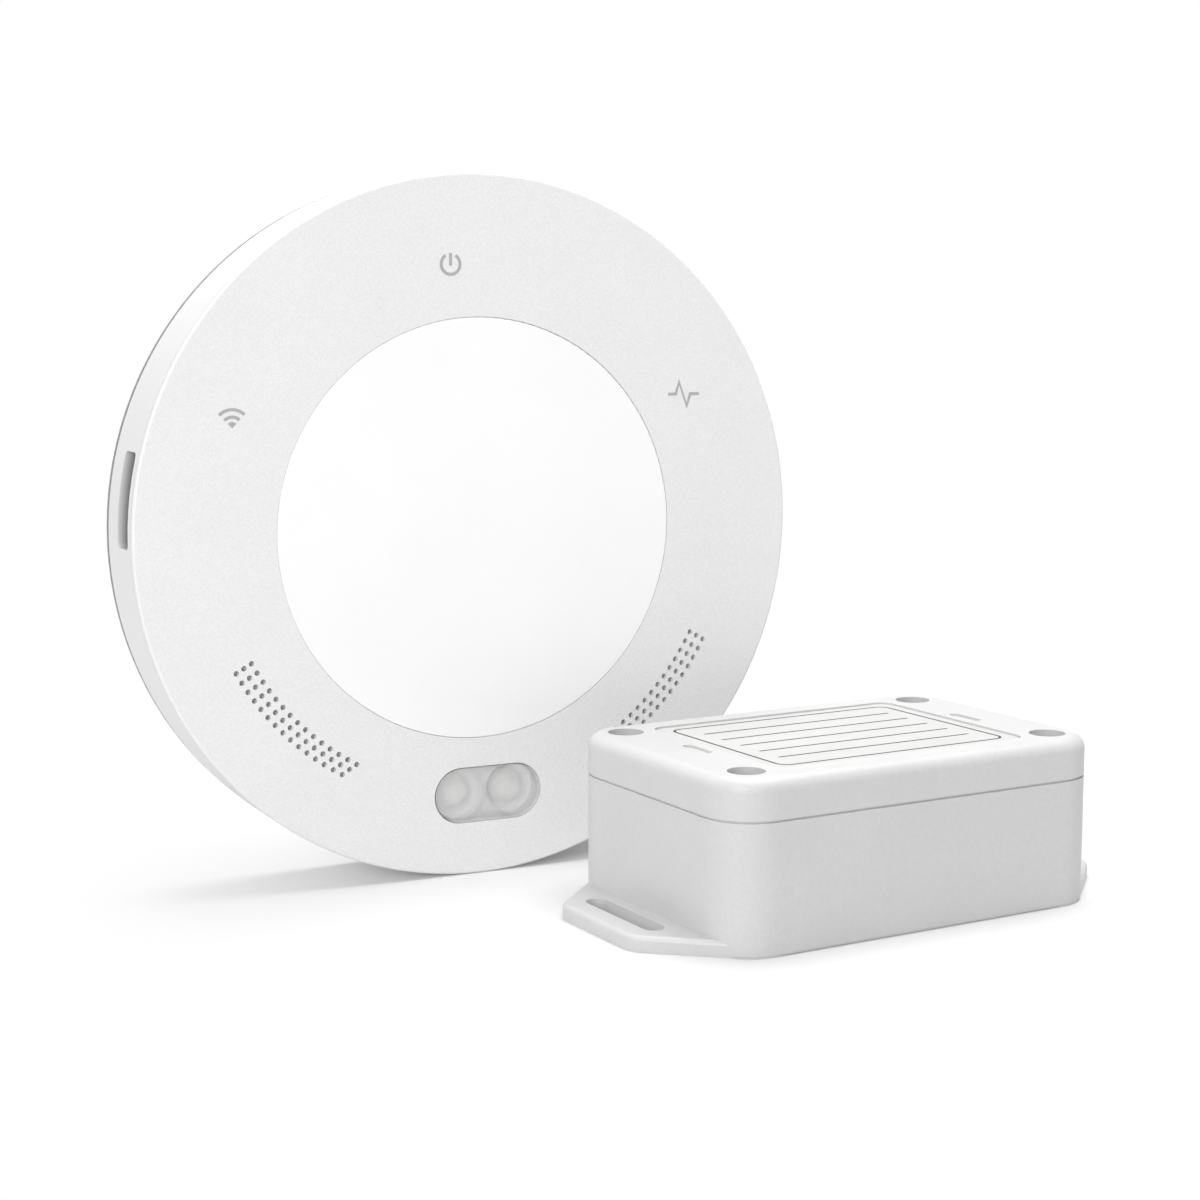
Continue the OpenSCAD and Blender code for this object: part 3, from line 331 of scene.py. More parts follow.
@dataclass(frozen=True)
class BlastedShell(MouldedPlastic):
    """Round housing with a grained front, a smoother rim and painted shade inside its slot.

    Its places are millimetres in the row's frame: the Y of the face, the X and Z of the axis, and the radius
    of the rim.
    """

    face_y: float = 0.0
    axis: tuple[float, float] = (0.0, 0.0)
    rim_r: float = 60.0
    rim_colour: str = "#E2E2E2"
    # grey of the painted shade that deepens into the slot
    slot_shade_colour: str = "#8A8A8A"
    # the front's grain and colour go over into the rim's within this depth, and this share of them stays
    fade_mm: float = 0.35
    rim_share: float = 0.12
    # painted shade: depths behind the front and below the rim over which the slot's walls darken
    shade_front_depth: tuple[float, float] = (2.2, 2.6)
    shade_rim_depth: tuple[float, float] = (0.1, 1.5)

    def tint(
        self, tree: bpy.types.NodeTree, colour: bpy.types.NodeSocket, where: bpy.types.NodeSocket
    ) -> bpy.types.NodeSocket:
        """Changes the front's colour into the rim's, and darkens it with painted shade inside the slot.

        Args:
            tree: Node tree of the material.
            colour: Colour of the front.
            where: Object coordinates.

        Returns:
            The changed colour.
        """
        front = self.grain_fade(tree, where)
        mix = {"data_type": "RGBA", 6: linear(self.rim_colour)}
        painted = add_node(tree, "ShaderNodeMix", mix, {0: front, 7: colour}).outputs[2]
        from_axis = add_node(
            tree,
            "ShaderNodeMapping",
            {"Location": (-self.axis[0] * MM, 0, -self.axis[1] * MM), "Scale": (1, 0, 1)},
            {"Vector": where},
        )
        radius = add_node(
            tree, "ShaderNodeVectorMath", {"operation": "LENGTH"}, {0: from_axis.outputs[0]}
        ).outputs["Value"]
        low, high = self.shade_rim_depth
        settings = {"From Min": (self.rim_r - low) * MM, "From Max": (self.rim_r - high) * MM}
        below_rim = add_node(tree, "ShaderNodeMapRange", settings, {"Value": radius})
        low, high = self.shade_front_depth
        settings = {"From Min": (self.face_y + low) * MM, "From Max": (self.face_y + high) * MM}
        parts = add_node(tree, "ShaderNodeSeparateXYZ", links={0: where})
        behind_front = add_node(tree, "ShaderNodeMapRange", settings, {"Value": parts.outputs[1]})
        inside = add_node(
            tree,
            "ShaderNodeMath",
            {"operation": "MULTIPLY"},
            {0: below_rim.outputs[0], 1: behind_front.outputs[0]},
        )
        # painted shade: the slot's walls darken with depth behind the front and below the rim
        mix = {"data_type": "RGBA", 7: linear(self.slot_shade_colour)}
        return add_node(tree, "ShaderNodeMix", mix, {0: inside.outputs[0], 6: painted}).outputs[2]

    def grain_fade(self, tree: bpy.types.NodeTree, where: bpy.types.NodeSocket) -> bpy.types.NodeSocket:
        """Gives 1 on the front and nearly 0 behind it.

        Args:
            tree: Node tree of the material.
            where: Object coordinates.

        Returns:
            The strength of the front's grain and colour.
        """
        parts = add_node(tree, "ShaderNodeSeparateXYZ", links={0: where})
        settings = {
            "From Min": self.face_y * MM,
            "From Max": (self.face_y + self.fade_mm) * MM,
            "To Min": 1.0,
            "To Max": self.rim_share,
        }
        return add_node(tree, "ShaderNodeMapRange", settings, {"Value": parts.outputs[1]}).outputs[0]


@dataclass(frozen=True)
class ClearPlastic(Finish):
    """Light-passing plastic: clear when smooth, milky when its surface is frosted."""

    cloud_colour: str = "#FFFFFF"
    ior: float = 1.58
    passing: float = 0.9
    # share of the light that a hazed surface stops; 1 leaves it to the clear body to bend the light
    cover: float = 1.0
    haze_mm: float = 0.6
    haze_depth_mm: float = 0.004
    # share by which the roughness goes up and down with the haze
    roughness_spread: float = 0.2

    def shade(self, tree: bpy.types.NodeTree) -> bpy.types.Node:
        """Builds the frosting.

        Args:
            tree: Node tree of the material.

        Returns:
            The shader node.
        """
        where = add_node(tree, "ShaderNodeTexCoord").outputs["Object"]
        haze = add_node(
            tree, "ShaderNodeTexNoise", {"Scale": per_mm(self.haze_mm), "Detail": 2.0}, {"Vector": where}
        ).outputs[0]
        colour = add_node(
            tree,
            "ShaderNodeMix",
            {"data_type": "RGBA", 6: linear(self.cloud_colour), 7: linear(self.colour)},
            {0: haze},
        )
        smoother, rougher = 1 - self.roughness_spread, 1 + self.roughness_spread
        settings = {"To Min": self.roughness * smoother, "To Max": self.roughness * rougher}
        rough = add_node(tree, "ShaderNodeMapRange", settings, {"Value": haze})
        bump = add_node(tree, "ShaderNodeBump", {"Distance": self.haze_depth_mm * MM}, {"Height": haze})
        return add_node(
            tree,
            "ShaderNodeBsdfPrincipled",
            {"IOR": self.ior, "Transmission Weight": self.passing, "Alpha": self.cover},
            {"Base Color": colour.outputs[2], "Roughness": rough.outputs[0], "Normal": bump.outputs[0]},
        )


@dataclass(frozen=True)
class BareMetal(Finish):
    """Bare or plated metal: fine lines from rolling or turning, and patches that have dulled."""

    dull_colour: str = "#8A8C90"
    line_mm: tuple[float, float, float] = (3.0, 0.12, 3.0)
    line_depth_mm: float = 0.002
    patch_mm: float = 4.0
    # heights of the patches' noise between which the colour changes over
    patch_range: tuple[float, float] = (0.3, 0.6)
    # share by which the roughness goes up and down with the lines
    roughness_spread: float = 0.3

    def shade(self, tree: bpy.types.NodeTree) -> bpy.types.Node:
        """Builds lines and dull patches.

        Args:
            tree: Node tree of the material.

        Returns:
            The shader node.
        """
        where = add_node(tree, "ShaderNodeTexCoord").outputs["Object"]
        stretched = add_node(
            tree, "ShaderNodeMapping", {"Scale": [per_mm(mm) for mm in self.line_mm]}, {"Vector": where}
        )
        lines = add_node(
            tree, "ShaderNodeTexNoise", {"Scale": 1.0, "Detail": 3.0}, {"Vector": stretched.outputs[0]}
        ).outputs[0]
        patches = add_node(
            tree, "ShaderNodeTexNoise", {"Scale": per_mm(self.patch_mm), "Detail": 4.0}, {"Vector": where}
        ).outputs[0]
        low, high = self.patch_range
        settings = {"From Min": low, "From Max": high}
        share = add_node(tree, "ShaderNodeMapRange", settings, {"Value": patches})
        colour = add_node(
            tree,
            "ShaderNodeMix",
            {"data_type": "RGBA", 6: linear(self.dull_colour), 7: linear(self.colour)},
            {0: share.outputs[0]},
        )
        smoother, rougher = 1 - self.roughness_spread, 1 + self.roughness_spread
        settings = {"To Min": self.roughness * smoother, "To Max": self.roughness * rougher}
        rough = add_node(tree, "ShaderNodeMapRange", settings, {"Value": lines})
        bump = add_node(tree, "ShaderNodeBump", {"Distance": self.line_depth_mm * MM}, {"Height": lines})
        return add_node(
            tree,
            "ShaderNodeBsdfPrincipled",
            {"Metallic": 1.0},
            {"Base Color": colour.outputs[2], "Roughness": rough.outputs[0], "Normal": bump.outputs[0]},
        )


@dataclass(frozen=True)
class SolderResist(Finish):
    """Circuit board under solder resist: copper tracks show through as paler, slightly raised lines."""

    track_colour: str = "#2E7350"
    row_mm: float = 2.4
    track_mm: float = 0.35
    track_rise_mm: float = 0.03
    track_edge: float = 0.2
    # distance between the links from one row's track to the next, in rows
    link_pitch: float = 2.7
    ior: float = 1.5
    turn: tuple[float, float, float] = (0.0, 0.0, 0.0)

    def shade(self, tree: bpy.types.NodeTree) -> bpy.types.Node:
        """Builds the tracks.

        Args:
            tree: Node tree of the material.

        Returns:
            The shader node.
        """
        where = add_node(tree, "ShaderNodeTexCoord").outputs["Object"]
        turned = add_node(
            tree,
            "ShaderNodeMapping",
            {"Rotation": [math.radians(a) for a in self.turn], "Scale": [per_mm(self.row_mm)] * 3},
            {"Vector": where},
        )
        settings = {
            "Scale": 1.0,
            "Mortar Size": self.track_mm / self.row_mm / 2,
            "Mortar Smooth": self.track_edge,
            "Brick Width": self.link_pitch,
            "Row Height": 1.0,
        }
        tracks = add_node(tree, "ShaderNodeTexBrick", settings, {"Vector": turned.outputs[0]}).outputs[1]
        colour = add_node(
            tree,
            "ShaderNodeMix",
            {"data_type": "RGBA", 6: linear(self.colour), 7: linear(self.track_colour)},
            {0: tracks},
        )
        bump = add_node(tree, "ShaderNodeBump", {"Distance": self.track_rise_mm * MM}, {"Height": tracks})
        return add_node(
            tree,
            "ShaderNodeBsdfPrincipled",
            {"Roughness": self.roughness, "IOR": self.ior},
            {"Base Color": colour.outputs[2], "Normal": bump.outputs[0]},
        )


@dataclass(frozen=True)
class WovenMesh(Finish):
    """Woven acoustic mesh: two sets of fine threads that cross at right angles."""

    gap_colour: str = "#8A8A8A"
    pitch_mm: float = 0.3
    thread_rise_mm: float = 0.05

    def shade(self, tree: bpy.types.NodeTree) -> bpy.types.Node:
        """Builds both sets of threads.

        Args:
            tree: Node tree of the material.

        Returns:
            The shader node.
        """
        where = add_node(tree, "ShaderNodeTexCoord").outputs["Object"]
        sets = [
            add_node(
                tree,
                "ShaderNodeTexWave",
                {"bands_direction": axis, "Scale": bands_per_mm(self.pitch_mm)},
                {"Vector": where},
            ).outputs[1]
            for axis in ("X", "Z")
        ]
        weave = add_node(
            tree, "ShaderNodeMath", {"operation": "MAXIMUM"}, {0: sets[0], 1: sets[1]}
        ).outputs[0]
        colour = add_node(
            tree,
            "ShaderNodeMix",
            {"data_type": "RGBA", 6: linear(self.gap_colour), 7: linear(self.colour)},
            {0: weave},
        )
        bump = add_node(tree, "ShaderNodeBump", {"Distance": self.thread_rise_mm * MM}, {"Height": weave})
        return add_node(
            tree,
            "ShaderNodeBsdfPrincipled",
            {"Roughness": self.roughness},
            {"Base Color": colour.outputs[2], "Normal": bump.outputs[0]},
        )


# Blasted white ABS: a soft white face whose fine grain scatters the light, and a smoother rim behind it.
# The real grit is near 0.15 mm; it is drawn at 0.3 mm so that it shows at this distance.
# its slot's walls carry painted shade that darkens with depth
BLASTED_WHITE = BlastedShell(
    name="abs_white_blasted",
    colour="#EEEEEE",
    cloud_colour="#ECECEC",
    roughness=0.52,
    grain_mm=0.3,
    grain_depth_mm=0.012,
    grain_colour="#DCDCDC",
    grain_share=0.42,
)
# Polished white ABS: the tool was polished, so the cap is smooth and bright and mirrors what is round it.
POLISHED_WHITE = MouldedPlastic(
    name="abs_white_polished",
    colour="#FBFBFB",
    cloud_colour="#F9F9F9",
    roughness=0.2,
    grain_mm=1.6,
    grain_depth_mm=0.0015,
    coat=0.3,
)
# Spark-eroded mid-grey ABS of the rear cover: an even matt skin.
# its grey is partly painted shade: it darkens the thin line that the cover's edge draws along the outline
MATT_COVER = MouldedPlastic(
    name="abs_cover_matt",
    colour="#9A9A9C",
    cloud_colour="#949496",
    roughness=0.6,
    grain_mm=0.5,
    grain_depth_mm=0.018,
    grain_colour="#868688",
    grain_share=0.4,
)
# Satin grey-white ABS of a standard box: a soft sheen on its edges, faint clouding and a few specks.
SATIN_BOX = MouldedPlastic(
    name="abs_box_satin",
    colour="#CFCFCF",
    cloud_colour="#CBCBCB",
    roughness=0.42,
    grain_mm=0.7,
    grain_depth_mm=0.004,
    grain_colour="#C6C6C6",
    grain_share=0.35,
    speck_colour="#7C7C7C",
)
# Bright white polycarbonate of the lamp reflector.
REFLECTOR_WHITE = MouldedPlastic(
    name="polycarbonate_reflector", colour="#FAFAF9", cloud_colour="#F5F5F4", roughness=0.3, cloud_mm=3.0
)
# Small white caps and lamp bodies.
WHITE_CAP = MouldedPlastic(
    name="abs_white_small_parts", colour="#EFEFEC", cloud_colour="#E6E6E3", roughness=0.35, cloud_mm=3.0
)
# Glass-filled black nylon of relays, sirens, switches and holders: dull, with a faint fibre grain.
BLACK_NYLON = MouldedPlastic(
    name="nylon_black_moulded",
    colour="#1D1D1F",
    cloud_colour="#252527",
    roughness=0.5,
    grain_mm=0.4,
    grain_depth_mm=0.008,
    grain_colour="#333336",
    grain_share=0.4,
)
# Green polyamide of a terminal block.
GREEN_NYLON = MouldedPlastic(
    name="nylon_green_moulded", colour="#2E7A4B", cloud_colour="#286C42", roughness=0.45, cloud_mm=4.0
)
# Silicone gasket cord: soft grey, no shine.
SILICONE = MouldedPlastic(
    name="silicone_grey", colour="#5B5B5D", cloud_colour="#525254", roughness=0.75, grain_depth_mm=0.01
)
# Frosted polycarbonate: lets the lamps show through as soft grey domes.
FROSTED_LENS = ClearPlastic(
    name="polycarbonate_frosted",
    colour="#FBFBFB",
    cloud_colour="#F7F7F7",
    roughness=0.16,
    passing=0.0,
    cover=0.35,
)
# Clear acrylic of the light guides.
CLEAR_GUIDE = ClearPlastic(
    name="acrylic_clear", colour="#F7F9F9", roughness=0.06, ior=1.49, haze_depth_mm=0.001
)
# Milky epoxy of the lamps' domes.
LAMP_EPOXY = ClearPlastic(
    name="epoxy_milky", colour="#F8F8F5", cloud_colour="#F1F1ED", roughness=0.12, ior=1.54, passing=0.1
)
# Zinc-plated steel of the screws: bluish grey and slightly dulled.
ZINC_STEEL = BareMetal(name="steel_zinc_plated", colour="#B9BCC2", roughness=0.34)
# Tinned and drawn steel of radio cans, the socket's shell and the tilt switch.
TINNED_STEEL = BareMetal(
    name="steel_tinned", colour="#C6C8CB", dull_colour="#A3A6AA", roughness=0.28, line_mm=(0.15, 6.0, 6.0)
)
# Plated can of a battery cell.
CELL_CAN = BareMetal(
    name="steel_cell_can", colour="#AEB1B7", dull_colour="#8E9298", roughness=0.3, line_mm=(8.0, 0.2, 0.2)
)
# Drawn aluminium can of a capacitor.
ALUMINIUM_CAN = BareMetal(
    name="aluminium_drawn", colour="#CFD1D4", dull_colour="#B4B7BB", roughness=0.25, line_mm=(0.2, 5.0, 0.2)
)
# Bright brass of contacts, antenna and ball.
BRIGHT_BRASS = BareMetal(
    name="brass_bright", colour="#CBAA62", dull_colour="#A98A4C", roughness=0.22, line_mm=(4.0, 0.2, 4.0)
)
# Solder resist of the round board, which stands upright.
ROUND_BOARD = SolderResist(name="board_round", colour="#1E5B3C", roughness=0.3, turn=(90.0, 0.0, 0.0))
# Solder resist of the sensor's board, which lies flat and is turned with its box.
FLAT_BOARD = SolderResist(name="board_flat", colour="#1E5B3C", roughness=0.3, turn=(0.0, 0.0, -SENSOR_TURN))
# Pale grey polyester mesh behind the sound holes.
SIREN_MESH = WovenMesh(name="polyester_mesh", colour="#C8C8C8", roughness=0.8)
# Grey print of the signs: a thin coat of ink that is slightly uneven.
SIGN_INK = MouldedPlastic(
    name="print_grey", colour="#B0B0B0", cloud_colour="#ABABAB", roughness=0.45, cloud_mm=1.5
)
# Matt off-white film of the label, with the faint unevenness of a sheet that was rolled on.
LABEL_FILM = MouldedPlastic(
    name="film_label_matt",
    colour="#CACAC8",
    cloud_colour="#C7C7C5",
    roughness=0.75,
    ior=1.4,
    cloud_mm=9.0,
    grain_mm=0.35,
    grain_depth_mm=0.003,
)
# Dark ink of the label's frame and rules.
LABEL_INK = MouldedPlastic(
    name="print_dark", colour="#3E3E40", cloud_colour="#4A4A4C", roughness=0.75, ior=1.4, cloud_mm=1.2
)


def thicken(shape: bmesh.types.BMesh, height: float) -> None:
    """Turns a flat sheet into a plate by drawing it up along Z.

    Args:
        shape: Flat mesh on z = 0.
        height: Thickness of the plate.
    """
    drawn = bmesh.ops.extrude_face_region(shape, geom=shape.faces[:])
    risen = [part for part in drawn["geom"] if isinstance(part, bmesh.types.BMVert)]
    bmesh.ops.translate(shape, verts=risen, vec=(0, 0, height))


def add_arc(shape: bmesh.types.BMesh, inner: float, outer: float, start: float, sweep: float) -> None:
    """Adds a flat arc round the origin: a short radial edge that is spun.

    Args:
        shape: Mesh that the arc goes into.
        inner: Inner radius.
        outer: Outer radius.
        start: Angle of the first end, in degrees from +X.
        sweep: Angle from the first end to the last, in degrees.
    """
    way = Vector((math.cos(math.radians(start)), math.sin(math.radians(start)), 0))
    ends = [shape.verts.new(way * radius) for radius in (inner, outer)]
    edge = shape.edges.new(ends)
    bmesh.ops.spin(
        shape,
        geom=[*ends, edge],
        cent=(0, 0, 0),
        axis=(0, 0, 1),
        angle=math.radians(sweep),
        steps=max(ARC_FEWEST_STEPS, round(abs(sweep) / ARC_STEP)),
        use_merge=False,
    )


def add_bar(shape: bmesh.types.BMesh, length: float, width: float, middle: tuple[float, float]) -> None:
    """Adds a flat bar.

    Args:
        shape: Mesh that the bar goes into.
        length: Size along X.
        width: Size along Y.
        middle: X and Y of its middle.
    """
    bar = bmesh.ops.create_grid(shape, x_segments=1, y_segments=1, size=0.5)["verts"]
    bmesh.ops.scale(shape, verts=bar, vec=(length, width, 1))
    bmesh.ops.translate(shape, verts=bar, vec=(*middle, 0))


def add_line(shape: bmesh.types.BMesh, corners: list[tuple[float, float]], width: float) -> None:
    """Adds a flat line: a short edge that is drawn out from corner to corner.

    Args:
        shape: Mesh that the line goes into.
        corners: X and Y of the line's ends and corners.
        width: Width of the line.
    """
    points = [Vector((x, y, 0)) for x, y in corners]
    ways = [(b - a).normalized() for a, b in zip(points, points[1:])]
    sides = [Vector((-way.y, way.x, 0)) for way in ways]
    longest_mitre = 1.9
    across = [sides[0]]
    for before, after in zip(sides, sides[1:]):
        middle = (before + after).normalized()
        across.append(middle * min(1 / middle.dot(after), longest_mitre))
    across.append(sides[-1])
    left, right = (shape.verts.new(points[0] + across[0] * side * width / 2) for side in (1, -1))
    edge = shape.edges.new((left, right))
    for point, side in zip(points[1:], across[1:]):
        drawn = bmesh.ops.extrude_edge_only(shape, edges=[edge])["geom"]
        edge = next(part for part in drawn if isinstance(part, bmesh.types.BMEdge))
        first_is_left = (edge.verts[0].co - left.co).length < (edge.verts[0].co - right.co).length
        left, right = edge.verts if first_is_left else reversed(edge.verts)
        left.co = point + side * width / 2
        right.co = point - side * width / 2


def add_card(shape: bmesh.types.BMesh, length: float, width: float, corner: float) -> None:
    """Adds a flat card with round corners.

    Args:
        shape: Mesh that the card goes into.
        length: Size along X.
        width: Size along Y.
        corner: Radius of its corners.
    """
    card = bmesh.ops.create_grid(shape, x_segments=1, y_segments=1, size=0.5)["verts"]
    bmesh.ops.scale(shape, verts=card, vec=(length, width, 1))
    bmesh.ops.bevel(
        shape,
        geom=card,
        offset=corner,
        affect="VERTICES",
        segments=CORNER_STEPS,
        profile=0.5,
        material=-1,
    )


def finish_piece(
    name: str, shape: bmesh.types.BMesh, place: Matrix, finish: Finish, body: Body
) -> None:
    """Puts a shape in its place as a piece that rides on a body.

    Args:
        name: Name of the piece.
        shape: Its mesh in millimetres, in its own frame.
        place: From that frame to the row's frame, in metres.
        finish: Finish of its surface.
        body: Body that carries it.
    """
    bmesh.ops.remove_doubles(shape, verts=shape.verts[:], dist=SAME_POINT)
    bmesh.ops.transform(shape, matrix=place, verts=shape.verts[:])
    bmesh.ops.recalc_face_normals(shape, faces=shape.faces[:])
    mesh = bpy.data.meshes.new(name)
    shape.to_mesh(mesh)
    shape.free()
    piece = bpy.data.objects.new(name, mesh)
    bpy.context.scene.collection.objects.link(piece)
    piece.data.materials.append(finish.material())
    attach(piece, body.value)
    LOG.info("piece %s: %d faces, on %s", name, len(mesh.polygons), body.value)


def dress(nodes: dict[str, bpy.types.Object], finishes: dict[str, Finish]) -> None:
    """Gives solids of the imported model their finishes.

    Args:
        nodes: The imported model's objects by node name.
        finishes: Finish of each node, by node name.
    """
    for name, finish in finishes.items():
        slots = nodes[name].data.materials
        slots.clear()
        slots.append(finish.material())
        LOG.info("solid %s: %s", name, finish.name)


@dataclass
class FaceSigns:
    """The three printed signs on the controller's ring, each at its place on the face."""

    line: float = 0.52
    lift: float = 0.04
    sink: float = 0.02
    power_at: tuple[float, float] = (-5.0, 44.75)
    power_r: float = 1.95
    power_gap: float = 64.0
    stem: tuple[float, float] = (-0.25, 1.85)
    wireless_at: tuple[float, float] = (-43.2, 18.35)
    wireless_r: float = 3.25
    wireless_arc_pitch: float = 1.2
    wireless_dot_r: float = 1.0
    wireless_sweep: float = 90.0
    activity_at: tuple[float, float] = (39.2, 22.35)
    activity_half: float = 3.1
    activity_peak: float = 2.1
    # corners of the line, as shares of its half length and of its peak
    activity_corners: tuple[tuple[float, float], ...] = (
        (-1.0, 0.0),
        (-0.5, 0.0),
        (-0.3, 1.0),
        (0.2, -1.0),
        (0.42, 0.0),
        (1.0, 0.0),
    )

    def build(self, face: Matrix) -> None:
        """Builds the three signs.

        Args:
            face: From the face's own frame, in millimetres with +Z to the front, to the row's frame.
        """
        for name, shape, at in (
            ("sign_power", self.power(), self.power_at),
            ("sign_wireless", self.wireless(), self.wireless_at),
            ("sign_activity", self.activity(), self.activity_at),
        ):
            bmesh.ops.remove_doubles(shape, verts=shape.verts[:], dist=SAME_POINT)
            thicken(shape, self.lift + self.sink)
            place = face @ Matrix.Translation((*at, -self.sink))
            finish_piece(name, shape, place, SIGN_INK, Body.CONTROLLER)

    def power(self) -> bmesh.types.BMesh:
        """Draws an open ring with a stem in its gap.

        Returns:
            The flat sign.
        """
        shape = bmesh.new()
        sweep = 360 - self.power_gap
        add_arc(shape, self.power_r - self.line, self.power_r, 90 + self.power_gap / 2, sweep)
        low, high = self.stem
        add_bar(shape, self.line, high - low, (0, (low + high) / 2))
        return shape

    def wireless(self) -> bmesh.types.BMesh:
        """Draws a wedge under two arcs.

        Returns:
            The flat sign.
        """
        shape = bmesh.new()
        start = 90 - self.wireless_sweep / 2
        add_arc(shape, 0, self.wireless_dot_r, start, self.wireless_sweep)
        for outer in (self.wireless_r - self.wireless_arc_pitch, self.wireless_r):
            add_arc(shape, outer - self.line, outer, start, self.wireless_sweep)
        return shape

    def activity(self) -> bmesh.types.BMesh:
        """Draws a level line with one peak and one dip.

        Returns:
            The flat sign.
        """
        shape = bmesh.new()
        corners = [(x * self.activity_half, y * self.activity_peak) for x, y in self.activity_corners]
        add_line(shape, corners, self.line)
        return shape


@dataclass
class Controller:
    """The round unit: its housing, what shows through it and what lies inside."""

    signs: FaceSigns

    def face_place(self) -> Matrix:
        """Gives the place of the face.

        Returns:
            From the face's frame, in millimetres with +Z to the front and +Y up, to the row's frame.
        """
        low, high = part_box("centre_cap")
        middle = Vector(((low.x + high.x) / 2, low.y, (low.z + high.z) / 2))
        return Matrix.Translation(middle) @ Matrix.Rotation(math.pi / 2, 4, "X") @ Matrix.Scale(MM, 4)

    def build(self, nodes: dict[str, bpy.types.Object]) -> None:
        """Dresses the unit's solids and adds its signs.

        Args:
            nodes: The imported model's objects by node name.
        """
        face = self.face_place()
        low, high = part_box("face_ring")
        shell = replace(
            BLASTED_WHITE,
            face_y=face.translation.y / MM,
            axis=(face.translation.x / MM, face.translation.z / MM),
            rim_r=(high.z - low.z) / 2 / MM,
        )
        dress(
            nodes,
            {
                "face_ring": shell,
                "centre_cap": POLISHED_WHITE,
                "rear_cover": MATT_COVER,
                "case_screws": ZINC_STEEL,
                "board_screws": ZINC_STEEL,
                "main_board": ROUND_BOARD,
                "warning_lens": FROSTED_LENS,
                "lamp_reflector": REFLECTOR_WHITE,
                "warning_lamps": LAMP_EPOXY,
                "status_light_guides": CLEAR_GUIDE,
                "status_leds": WHITE_CAP,
                "siren_left": BLACK_NYLON,
                "siren_right": BLACK_NYLON,
                "grille_meshes": SIREN_MESH,
                "door_relay": BLACK_NYLON,
                "terminal_block": GREEN_NYLON,
                "power_socket": TINNED_STEEL,
                "radio_module": TINNED_STEEL,
                "antenna": BRIGHT_BRASS,
                "capacitors": ALUMINIUM_CAN,
                "reset_switch": BLACK_NYLON,
                "reset_button": WHITE_CAP,
            },
        )
        self.signs.build(face)


@dataclass
class DoorSensor:
    """The flanged box: its two halves, its label and what lies inside."""

    label_recess_l: float = 49.4
    label_recess_w: float = 38.0
    label_recess_depth: float = 0.4
    label_gap: float = 0.3
    label_t: float = 0.14
    label_corner: float = 2.2
    # share of the film's thickness that its upper edge is rounded by
    label_edge: float = 1 / 3
    frame_inset: float = 2.0
    frame_line: float = 0.45
    rule_pitch: float = 5.4
    rule_count: int = 5
    rule_l: float = 38.0
    ink_t: float = 0.02

    def label_place(self) -> Matrix:
        """Gives the place of the label.

        Returns:
            From the label's frame, in millimetres on the recess's floor, to the row's frame.
        """
        low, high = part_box("lid_gasket")
        floor_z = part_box("sensor_lid")[1].z - self.label_recess_depth * MM
        middle = Vector(((low.x + high.x) / 2, (low.y + high.y) / 2, floor_z))
        turned = Matrix.Rotation(math.radians(SENSOR_TURN), 4, "Z")
        return Matrix.Translation(middle) @ turned @ Matrix.Scale(MM, 4)

    def build(self, nodes: dict[str, bpy.types.Object]) -> None:
        """Dresses the unit's solids and adds its label.

        Args:
            nodes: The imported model's objects by node name.
        """
        dress(
            nodes,
            {
                "sensor_base": SATIN_BOX,
                "sensor_lid": SATIN_BOX,
                "lid_gasket": SILICONE,
                "lid_screws": ZINC_STEEL,
                "sensor_board": FLAT_BOARD,
                "sensor_board_screws": ZINC_STEEL,
                "battery_holder": BLACK_NYLON,
                "battery_cells": CELL_CAN,
                "battery_contacts": BRIGHT_BRASS,
                "tilt_switch": TINNED_STEEL,
                "tilt_ball": BRIGHT_BRASS,
                "pair_switch": BLACK_NYLON,
                "pair_button": WHITE_CAP,
                "sensor_radio": TINNED_STEEL,
                "sensor_antenna": WHITE_CAP,
                "sensor_led": WHITE_CAP,
            },
        )
        place = self.label_place()
        finish_piece("lid_label", self.film(), place, LABEL_FILM, Body.SENSOR)
        on_film = place @ Matrix.Translation((0, 0, self.label_t))
        finish_piece("lid_label_rules", self.rules(), on_film, LABEL_INK, Body.SENSOR)

    def film(self) -> bmesh.types.BMesh:
        """Draws the label as a thin plate with round corners and a soft upper edge.

        Returns:
            The plate.
        """
        shape = bmesh.new()
        length = self.label_recess_l - 2 * self.label_gap
        width = self.label_recess_w - 2 * self.label_gap
        add_card(shape, length, width, self.label_corner)
        thicken(shape, self.label_t)
        rim = [e for e in shape.edges if all(v.co.z > self.label_t / 2 for v in e.verts)]
        bmesh.ops.bevel(
            shape,
            geom=rim,
            offset=self.label_t * self.label_edge,
            affect="EDGES",
            segments=2,
            profile=0.5,
            material=-1,
        )
        return shape

    def rules(self) -> bmesh.types.BMesh:
        """Draws a thin frame and plain rules, as on a blank form.

        Returns:
            The frame and the rules.
        """
        shape = bmesh.new()
        length = self.label_recess_l - 2 * self.label_gap - 2 * self.frame_inset
        width = self.label_recess_w - 2 * self.label_gap - 2 * self.frame_inset
        add_card(shape, length, width, self.label_corner)
        middle = shape.faces[:]
        bmesh.ops.inset_region(
            shape, faces=middle, thickness=self.frame_line, use_boundary=True, use_even_offset=True
        )
        bmesh.ops.delete(shape, geom=middle, context="FACES")
        for i in range(self.rule_count):
            y = (i - (self.rule_count - 1) / 2) * self.rule_pitch
            add_bar(shape, self.rule_l, self.frame_line, (0, y))
        thicken(shape, self.ink_t)
        return shape


